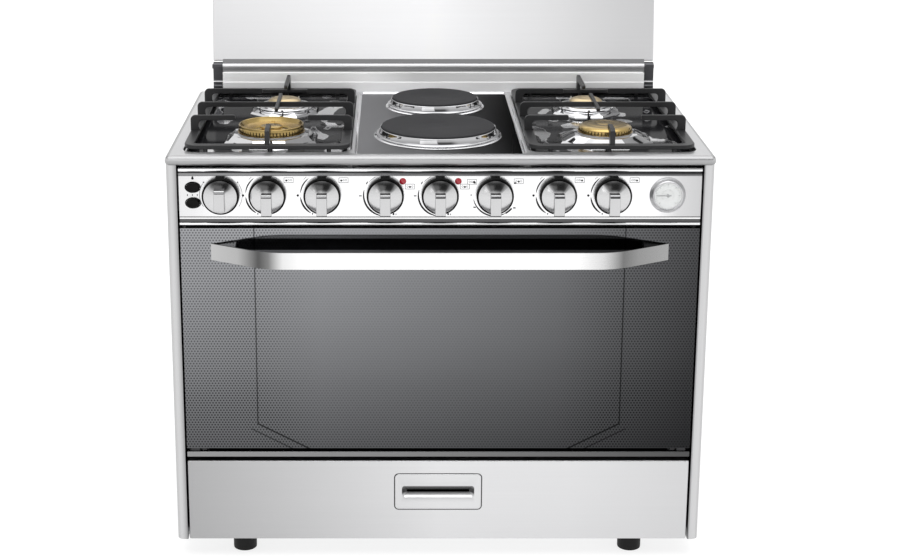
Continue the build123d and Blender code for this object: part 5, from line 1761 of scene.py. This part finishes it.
@dataclass
class Knob(Assembly):
    """One knob: a dome with a bar grip."""

    number: int = 1
    x: float = -400.0
    z: float = KNOB_HEIGHT
    face: float = PANEL_FACE
    radius: float = 30.4
    dome: float = 9.0
    gap: float = 15.8
    reach: float = 40.0
    half_grip: float = 9.6
    grip_top: float = 10.0
    grip_foot: float = 31.0
    crease: float = 6.4
    lift: float = 0.0

    def build(self) -> Piece:
        """Turns the dome and sets the grip on it.

        Returns:
            The knob.
        """
        bench = Bench()
        ball = (self.radius**2 + self.dome**2) / (2 * self.dome)
        half = math.degrees(math.asin(self.radius / ball))
        cap = arc((0.0, self.gap + self.dome - ball), ball, 90.0, 90.0 - half, 14)
        outline = cap + [(self.radius, self.gap - 1.2), (self.radius - 1.5, self.gap - 2.0), (7.0, self.gap - 2.0),
                         (7.0, -1.0), (0.0, -1.0)]
        bench.turned([(max(r, 0.0), h) for r, h in outline], (self.x, self.face, self.z), Facing.FRONT, 72)
        tip = self.face - self.reach
        root = self.face - self.gap + 0.3
        top, foot = self.z + self.grip_top + self.lift, self.z - self.grip_foot + self.lift
        side = [(root, top), (root, foot + 1.0), (tip + 5.0, foot), (tip + 1.6, foot + 1.0), (tip, foot + 4.0),
                (tip, top - self.crease), (tip + 0.3, top - self.crease + 1.2), (tip + 1.0, top - 2.6),
                (tip + 2.4, top - 1.0), (tip + 5.0, top - 0.2)]
        grip = bench.prism(side, 2 * self.half_grip, Facing.RIGHT, (self.x - self.half_grip, 0, 0), 1.0, 3)
        # Painted shade: the grip's front keeps its satin steel, its sides and sloping top take a darker copy, and the
        # crease under its top a near-black painted reflection.
        bench.paint_side(grip, (0, -1, 0), 1, 0.85)
        bench.paint_side(grip, (1, 0, 0), 2)
        bench.paint_side(grip, (-1, 0, 0), 2)
        bench.paint_side(grip, (0, -0.5, 1), 2, 0.6)
        crease = [face for face in grip if face.normal.y < -0.85 and face.calc_area() > 5.0]
        bench.paint(crease, 2, [(top - self.crease, top - self.crease + 1.2, 3)])
        return bench.make(f"knob_{self.number}_cap", 40.0)

    def dress(self) -> None:
        """Builds and finishes the knob."""
        node = f"knob_{self.number}"
        spun = SpunCap(f"{node}_chrome", (self.x / 1000, 0.0, self.z / 1000))
        self.fit(self.build(), (spun, KNOB_GRIP, KNOB_SIDE_SHADE, DEEP_SHADE), f"knob_body_{self.number}", "knob_chrome", [node])


# Oven door


@dataclass
class Door(Assembly):
    """The drop-down door's visible pieces: glass, handle and bottom trim."""

    half_width: float = HALF_FRONT
    front: float = DOOR_FACE
    glass: float = 4.0
    top: float = 657.6
    bottom: float = 206.3
    trim_height: float = 10.5
    trim_gap: float = 7.1
    handle_half: float = 421.0
    reach: float = 60.0
    handle_height: float = 32.0
    handle_middle: float = 612.5
    strap: float = 3.0
    slope: float = 30.0
    bend: float = 130.0
    grip_half: float = 322.0
    grip_depth: float = 20.0

    @property
    def glass_low(self) -> float:
        """Lower edge of the glass."""
        return self.bottom + self.trim_height + self.trim_gap

    def build_glass(self) -> Piece:
        """Cuts the glass with its ground edge.

        Returns:
            The glass.
        """
        bench = Bench()
        bench.block((-self.half_width, self.front, self.glass_low),
                    (self.half_width, self.front + self.glass, self.top), 0.7)
        return bench.make("door_glass")

    def strap_line(self, inset: float) -> List[Point]:
        """One face of the handle strap seen from above, from the left end to the right.

        Args:
            inset: how far it lies behind the outer face.

        Returns:
            The points.
        """
        slope = math.radians(self.slope)
        front = self.front - self.reach
        bend = self.bend - inset
        rise = self.reach - self.bend * (1 - math.cos(slope))
        run = rise / math.tan(slope)
        middle = self.handle_half - run - self.bend * math.sin(slope)
        end = self.handle_half - inset / math.sin(slope)
        curve = arc((middle, front + self.bend), bend, -90, -90 + self.slope, 10)
        right = curve + [(end, self.front)]
        return [(-x, y) for x, y in reversed(right)] + right

    def build_handle(self) -> Piece:
        """Bends the strap handle and closes its grip.

        Returns:
            The handle.
        """
        bench = Bench()
        low = self.handle_middle - self.handle_height / 2
        outer = self.strap_line(0.0)
        inner = self.strap_line(self.strap)
        strap = bench.prism(outer + inner[::-1], self.handle_height, Facing.UP, (0, 0, low), 0.8, 3)
        # Painted shade: the strap's top faces take a dark copy of the handle steel.
        bench.paint_side(strap, (0, 0, 1), 1)
        back = self.front - self.reach + self.strap + self.grip_depth
        room = [(x, min(y, back)) for x, y in self.strap_line(self.strap - 0.4) if abs(x) < self.grip_half + 24.0]
        ends = [(room[0][0] - 6.0, back), (room[-1][0] + 6.0, back)]
        outline = [ends[0]] + [point for point in room if point[1] < back - 0.5] + [ends[1]]
        grip = bench.prism(outline, self.handle_height - 1.6, Facing.UP, (0, 0, low + 0.8), 1.4, 3)
        # Painted shade: the grip's top faces are dark too, and every face turned towards the glass is near-black.
        bench.paint_side(grip, (0, 0, 1), 1)
        bench.paint_side(bench.work.faces[:], (0, 1, 0), 2, 0.3)
        for side in (-1, 1):
            end = self.handle_half - self.strap / math.sin(math.radians(self.slope))
            line = [(side * (end - 40.0), self.front), (side * end, self.front),
                    (side * (end - 40.0), self.front - 22.0)]
            bench.prism(line, self.handle_height - 4.0, Facing.UP, (0, 0, low + 2.0), 0.5)
        return bench.make("door_handle_bar", 30.0)

    def build_trim(self) -> Piece:
        """Folds the strip along the door's lower edge.

        Returns:
            The strip.
        """
        bench = Bench()
        bench.block((-self.half_width, self.front, self.bottom),
                    (self.half_width, self.front + self.glass, self.bottom + self.trim_height), 1.2, 3)
        return bench.make("door_trim")

    def dress(self) -> None:
        """Builds and finishes the door's pieces."""
        centre = (0.0, HOB_FRONT, (self.glass_low + self.top) / 2000)
        glass = DottedGlass(
            "mirror_glass", centre, self.half_width / 1000, (self.top - self.glass_low) / 2000,
            0.341, self.glass_low / 1000 - centre[2] + 0.004, (0.088, 0.046),
        )
        self.fit(self.build_glass(), (glass,), "door", "mirror_glass", ["door_outer_glass"])
        self.fit(self.build_handle(), (GRIP_FACE, GRIP_TOP_SHADE, DEEP_SHADE), "door", "handle_metal", ["door_handle"])
        self.fit(self.build_trim(), (TRIM_SATIN,), "door", "satin_steel", ["door_bottom_trim"])


@dataclass
class Drawer(Assembly):
    """The storage drawer's front with its recessed pull."""

    half_width: float = HALF_FRONT
    front: float = DOOR_FACE
    rear: float = 28.0
    top: float = 197.9
    bottom: float = 36.5
    pull_half: float = 84.0
    pull_height: float = 75.0
    pull_corner: float = 9.0
    pull_drop: float = 63.0
    slot_half: float = 69.0
    slot_height: float = 24.0
    outline: float = 1.6

    def build_front(self) -> Piece:
        """Folds the drawer front.

        Returns:
            The front.
        """
        bench = Bench()
        high = (self.top - self.bottom) / 2
        made = bench.block((-self.half_width, -high, self.front - self.rear), (self.half_width, high, 0.0), 2.2, 4)
        face = max(made, key=lambda part: part.normal.z * part.calc_area())
        drop = high - self.pull_drop
        room = bench.loop((-self.pull_half, drop - self.pull_height / 2), (self.pull_half, drop + self.pull_height / 2),
                          self.pull_corner, 0.0)
        bench.fill_round(face, [room], 0)
        bench.drop([room])
        bench.move(bench.work.faces, Matrix.Translation((0, self.front, self.bottom + high)) @ Facing.FRONT.turn)
        return bench.make("drawer_sheet")

    def build_pull(self) -> Piece:
        """Presses the pull with its finger scoop.

        Returns:
            The pull.
        """
        bench = Bench()
        z = self.top - self.pull_drop
        plate = bench.loop((-self.pull_half, -self.pull_height / 2), (self.pull_half, self.pull_height / 2),
                           self.pull_corner, 0.0)
        # Painted shadow: the narrow wall round the pull plate is near-black.
        plate = bench.sink(plate, ((self.outline, -0.2),), 2)
        plate = bench.sink(plate, ((0.6, 1.0), (1.2, 0.4), (3.0, -0.2)), 0)
        scoop = bench.loop((-self.slot_half, -self.slot_height / 2), (self.slot_half, self.slot_height / 2), 5.0, 1.0)
        bench.fill_round(plate, [scoop], 0)
        # The scoop's floor and walls take the scoop finish with its painted shadow.
        bench.sink(scoop, ((0.6, -0.4), (1.8, -2.0), (3.0, -2.6), (4.0, -1.6)), 1)
        scoop.material_index = 1
        bench.move(bench.work.faces, Matrix.Translation((0, self.front - 0.3, z)) @ Facing.FRONT.turn)
        return bench.make("drawer_pull_plate", 40.0, False)

    def dress(self) -> None:
        """Builds and finishes the drawer's pieces."""
        self.fit(self.build_front(), (DRAWER_SATIN,), "drawer", "satin_steel", ["drawer_front"])
        self.fit(self.build_pull(), (DRAWER_SATIN, SCOOP_SHADE, DEEP_SHADE), "drawer", "satin_steel", ["drawer_pull"])


@dataclass
class Lid(Assembly):
    """The folding lid, its hinge rail and the strip that it stands behind."""

    half_width: float = 469.0
    length: float = 585.0
    thickness: float = 10.0
    lean: float = 8.0
    axis_y: float = 603.0
    axis_z: float = 847.0
    start: float = 12.0
    tube: float = 12.0
    fold: float = 17.0
    block_width: float = 20.0
    block_radius: float = 9.5
    cap_sink: float = 0.6
    hob_depth: float = HOB_DEPTH
    rim: float = RIM
    strip: float = 40.5
    ledge: float = 21.0

    @property
    def inner_half(self) -> float:
        """Half the length of what stands between the hinge blocks."""
        return self.half_width - self.block_width - 0.5

    def lean_back(self, bench: Bench) -> None:
        """Turns what is on the bench to the open lid's place."""
        lean = Matrix.Rotation(math.radians(-self.lean), 4, "X")
        bench.move(bench.work.faces, Matrix.Translation((0, self.axis_y, self.axis_z)) @ lean)

    def build_panel(self) -> Piece:
        """Folds the lid's double skin.

        Returns:
            The panel.
        """
        bench = Bench()
        half = self.thickness / 2
        skin = bench.block((-self.half_width, -half, self.start), (self.half_width, half, self.length), 2.4, 4)
        # Painted shade: the faces turned to the back take the darker copy of the lid steel.
        bench.paint_side(skin, (0, 1, 0), 1, 0.5)
        self.lean_back(bench)
        return bench.make("lid_skin")

    def build_rail(self) -> Piece:
        """Rolls the hinge tube and the fold that meets the skins.

        Returns:
            The rail.
        """
        bench = Bench()
        front = arc((0.0, 0.0), self.tube, 300, 167, 14)
        back = arc((0.0, 0.0), self.tube, 60, -48, 10)
        section = front + [(-10.6, 6.0), (-4.4, self.fold), (4.6, self.fold)] + back
        rolled = bench.prism(section, 2 * self.inner_half, Facing.RIGHT, (-self.inner_half, 0, 0))
        # Painted highlight and shade: a bright line across the tube's front, and a darker band above it on the tube's
        # top and the fold.
        ahead = [face for face in rolled if face.normal.y < -0.2]
        bench.paint(ahead, 2, [(1.2, 6.0, 1), (6.0, self.fold, 2)])
        self.lean_back(bench)
        return bench.make("lid_tube", 40.0)

    def build_blocks(self) -> Piece:
        """Shapes the two hinge blocks.

        Returns:
            The blocks.
        """
        bench = Bench()
        outer = self.half_width
        r = self.block_radius
        for side in (-1, 1):
            x = outer - self.block_width if side > 0 else -outer
            front = self.axis_y - r
            side_view = arc((self.axis_y, self.axis_z), r, 0, 180, 16) + [
                (front, self.rim + 24.0), (front - 1.6, self.rim + 22.6), (front - 1.6, self.rim + 20.0),
                (front, self.rim + 19.0), (front, self.rim + 14.0), (front - 2.4, self.rim + 12.0),
                (front - 2.4, self.rim), (self.hob_depth, self.rim), (self.hob_depth, self.rim - 18.0),
                (self.axis_y + r, self.rim - 18.0)]
            shaped = bench.prism(side_view, self.block_width, Facing.RIGHT, (x, 0, 0), 0.8)
            # Painted highlight: a bright line across the blocks' fronts.
            bench.paint([face for face in shaped if face.normal.y < -0.5], 2, [(self.rim + 20.0, self.rim + 22.6, 1)])
            cap = bench.turned([(0.0, 2.0), (4.0, 2.0), (5.2, 1.2), (5.2, 0.0)], (0, 0, 0), Facing.RIGHT, 24)
            turn = Matrix.Rotation(math.pi if side < 0 else 0.0, 4, "Z")
            end = (outer if side > 0 else x) - self.cap_sink
            bench.move(cap, Matrix.Translation((end, self.axis_y, self.axis_z)) @ turn)
        return bench.make("hinge_blocks", 40.0)

    def build_upstand(self) -> Piece:
        """Folds the strip along the hob's rear edge.

        Returns:
            The strip.
        """
        bench = Bench()
        half = self.inner_half
        rear = self.hob_depth
        ledge = self.rim + self.ledge
        section = [(rear, self.rim), (rear, self.rim + self.strip - 5.0), (rear - 6.0, self.rim + self.strip),
                   (rear - 9.4, self.rim + self.strip), (rear - 10.0, self.rim + self.strip - 0.6),
                   (rear - 10.0, ledge), (rear - 11.6, ledge - 1.0), (rear - 11.6, self.rim)]
        folded = bench.prism(section, 2 * half, Facing.RIGHT, (-half, 0, 0))
        bench.paint([face for face in folded if face.normal.y < -0.2], 2, [(self.rim, ledge, 1)])
        return bench.make("rear_strip")

    def dress(self) -> None:
        """Builds and finishes the lid's pieces."""
        self.fit(self.build_panel(), (LID_SATIN, LID_BACK_SHADE), "lid", "satin_steel", ["lid_panel"])
        self.fit(self.build_rail(), (RAIL_GREY, RAIL_HIGHLIGHT, RAIL_FOLD_SHADE), "lid", "satin_steel", ["lid_rail"])
        self.fit(self.build_blocks(), (BLOCK_METAL, RAIL_HIGHLIGHT), "cabinet", "block_metal", ["lid_hinge_blocks"])
        self.fit(self.build_upstand(), (UPSTAND, LEDGE), "cabinet", "satin_steel", ["rear_upstand"])


@dataclass
class Cabinet(Assembly):
    """The cabinet: corner strips, feet and the pieces that keep their plain shape."""

    half_width: float = 500.0
    front: float = DOOR_FACE
    post_width: float = 20.6
    post_depth: float = 35.0
    edge_width: float = 3.2
    turn: float = 13.0
    foot_height: float = 36.0
    foot_radius: float = 22.5
    top: float = 777.0
    foot_x: float = 374.0
    foot_rows: Tuple[float, ...] = (55.0, 540.0)

    def build_posts(self) -> Piece:
        """Rolls the two bright corner strips.

        Returns:
            The strips.
        """
        bench = Bench()
        inner = self.half_width - self.post_width
        for side in (-1, 1):
            curve = arc((self.half_width - self.turn, self.front + self.turn), self.turn, -90, 0, 12)
            outline = [(inner, self.front + self.post_depth), (inner, self.front + 1.0), (inner + 0.8, self.front),
                       (inner + self.edge_width, self.front)]
            outline += curve + [(self.half_width, self.front + self.post_depth)]
            placed = [(side * x, y) for x, y in outline]
            rolled = bench.prism(placed, self.top - self.foot_height, Facing.UP, (0, 0, self.foot_height))
            # Painted shade: the front of each strip's inner edge takes a darker copy, and its side facing the door a
            # near-black painted shade.
            low, high = sorted((side * inner, side * (inner + self.edge_width)))
            bench.paint([face for face in rolled if face.normal.y < -0.6], 0, [(low, high, 1)])
            bench.paint_side(rolled, (-side, 0, 0), 2)
        return bench.make("corner_strips", 40.0)

    def build_feet(self) -> Piece:
        """Turns the four feet.

        Returns:
            The feet.
        """
        bench = Bench()
        for side in (-1, 1):
            for y in self.foot_rows:
                r = self.foot_radius
                outline = [(0.0, 0.0), (r - 1.6, 0.0), (r - 0.3, 0.8), (r, 2.4), (r, self.foot_height - 0.6),
                           (r - 0.6, self.foot_height), (0.0, self.foot_height)]
                bench.turned(outline, (side * self.foot_x, y, 0), steps=40)
        return bench.make("feet", 40.0, False)

    def dress(self) -> None:
        """Builds the new pieces and finishes the plain ones."""
        self.fit(self.build_posts(), (POST, POST_EDGE_SHADE, DEEP_SHADE), "cabinet", "polished_steel", ["corner_posts"])
        self.fit(self.build_feet(), (MATT_BLACK,), "cabinet", "black_plastic", ["levelling_feet"])
        finishes: Dict[str, Finish] = {
            "side_panels": SIDE_ENAMEL, "back_panel": ZINC, "back_screws": ZINC, "base_frame": ZINC,
            "burner_bodies": CAST, "spark_electrodes": CERAMIC, "tap_rail": ZINC, "gas_taps": TAP_BRASS,
            "electric_switches": MATT_BLACK, "gas_pipework": PIPE, "oven_front_frame": OVEN_ENAMEL,
            "oven_cavity": OVEN_ENAMEL, "oven_insulation": LOFT_WOOL, "oven_floor_plate": OVEN_ENAMEL,
            "oven_heaters": HEATER, "oven_lamp": LAMP_GLASS, "shelf_racks": WIRE, "oven_shelf": WIRE,
            "door_seal": SEAL, "door_frame": OVEN_ENAMEL, "door_inner_glass": CLEAR, "door_hinges": HINGE_DARK,
            "drawer_box": ZINC, "terminal_box": MATT_BLACK, "thermometer_pointer": INK, "thermometer_glass": CLEAR,
        }
        for node, finish in finishes.items():
            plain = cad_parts[node]
            plain.data.materials.clear()
            plain.data.materials.append(material_of(finish))
            log.info("%s keeps its shape and gets %s", node, finish.name)


# Studio


@dataclass
class Studio:
    """Floor, lights and camera."""

    camera_x: float = -84.9
    camera_back: float = 3057.0
    camera_up: float = 742.0
    rim: float = RIM
    pitch: float = 14.74
    lens: float = 69.63
    shift: Point = (0.0627, -0.1)
    floor_size: float = 60.0
    floor_glow: float = 0.79
    card: Tuple[Point, ...] = ((0.0, 1.05), (0.10, 1.1), (0.2, 0.7), (0.3, 0.12), (0.66, 0.10), (0.82, 1.5), (1.0, 2.7))
    front: Tuple[Point, ...] = ((0.0, 1.05), (0.10, 1.1), (0.3, 0.75), (0.6, 0.7), (0.82, 1.5), (1.0, 2.7))
    back: Tuple[Point, ...] = ((0.0, 0.95), (0.5, 0.8), (0.8, 1.2), (1.0, 2.7))
    card_half: float = 0.5

    def build_camera(self) -> None:
        """Sets the camera at the photograph's viewing angle."""
        data = bpy.data.cameras.new("camera")
        data.lens = self.lens
        data.sensor_width = 36.0
        data.shift_x, data.shift_y = self.shift
        data.clip_end = 200.0
        camera = bpy.data.objects.new("camera", data)
        height = (self.rim + self.camera_up) / 1000
        camera.location = (self.camera_x / 1000, HOB_FRONT - self.camera_back / 1000, height)
        camera.rotation_euler = (math.radians(90 - self.pitch), 0.0, 0.0)
        bpy.context.scene.collection.objects.link(camera)
        bpy.context.scene.camera = camera

    def build_floor(self) -> None:
        """Lays the pale floor."""
        work = bmesh.new()
        bmesh.ops.create_grid(work, x_segments=1, y_segments=1, size=self.floor_size)
        mesh = bpy.data.meshes.new("floor")
        work.to_mesh(mesh)
        work.free()
        floor = bpy.data.objects.new("floor", mesh)
        bpy.context.scene.collection.objects.link(floor)
        board = Board("floor_paper")
        cloud = board.noise(board.place(), 0.4, 1.0)
        colour = board.blend(cloud, (0.24, 0.24, 0.24), (0.26, 0.26, 0.26))
        floor.data.materials.append(board.surface(
            Base_Color=colour, Roughness=0.9, Emission_Color=(1.0, 1.0, 1.0), Emission_Strength=self.floor_glow))

    def build_sky(self) -> None:
        """Hangs the soft light round the set: pale walls, a dark card high in front and a bright ceiling."""
        board = SkyBoard("studio")
        x, y, z = board.axes(board.node("ShaderNodeTexCoord").outputs["Generated"])
        card, front, back = (board.node("ShaderNodeValToRGB", {"stops": stops}, {0: z}).outputs[0]
                             for stops in (self.card, self.front, self.back))
        ahead = board.blend(x.absolute().below(self.card_half, 0.2), front, card)
        light = board.blend(1 - y.below(0.0, 0.3), ahead, back)
        shader = board.node("ShaderNodeBackground", {}, {"Color": light, "Strength": 1.0})
        board.plug(shader.outputs[0], board.output.inputs["Surface"])
        bpy.context.scene.world = board.world

    def hang(self, name: str, at: Sequence[float], aim: Sequence[float], size: Point, power: float) -> None:
        """Hangs one soft light.

        Args:
            name: its name.
            at: where it hangs, in metres.
            aim: the point that it faces.
            size: its width and height in metres.
            power: its power in watts.
        """
        data = bpy.data.lights.new(name, "AREA")
        data.shape = "RECTANGLE"
        data.size, data.size_y = size
        data.energy = power
        light = bpy.data.objects.new(name, data)
        light.location = at
        light.rotation_euler = (Vector(aim) - Vector(at)).to_track_quat("-Z", "Y").to_euler()
        bpy.context.scene.collection.objects.link(light)

    def build(self) -> None:
        """Sets up the whole studio."""
        self.build_camera()
        self.build_floor()
        self.build_sky()
        self.hang("top_light", (0.0, -1.2, 4.2), (0.0, -0.6, 0.0), (5.0, 3.6), 40.0)
        self.hang("front_light", (-1.6, -4.6, 2.6), (0.0, 0.0, 0.6), (3.0, 2.0), 20.0)
        bpy.context.scene.view_settings.view_transform = "Standard"
        bpy.context.scene.view_settings.look = "None"


def main() -> None:
    """Builds the studio and the cooker, piece by piece."""
    logging.basicConfig(level=logging.INFO, format="%(name)s %(message)s")
    Studio().build()
    Hob().dress()
    for side in (-1, 1):
        PanSupport(side=side).dress()
    Burner(name="left_front", x=-317.0, y=171.0, radius=62.0, slots=60, open_middle=True).dress()
    Burner(name="right_front", x=317.0, y=171.0, radius=50.5, slots=48).dress()
    Burner(name="left_rear", x=-307.0, y=425.0, radius=33.0, slots=28, height=12.0, finish=DULL_BRASS).dress()
    Burner(name="right_rear", x=307.0, y=425.0, radius=33.0, slots=28, height=12.0, finish=DULL_BRASS).dress()
    Hotplates().dress()
    panel = ControlPanel()
    panel.dress()
    for number, x in enumerate(panel.knob_x, start=1):
        Knob(number=number, x=x, lift=8.0 if number == 1 else 0.0).dress()
    Door().dress()
    Drawer().dress()
    Lid().dress()
    Cabinet().dress()


if __name__ == "__main__":
    main()
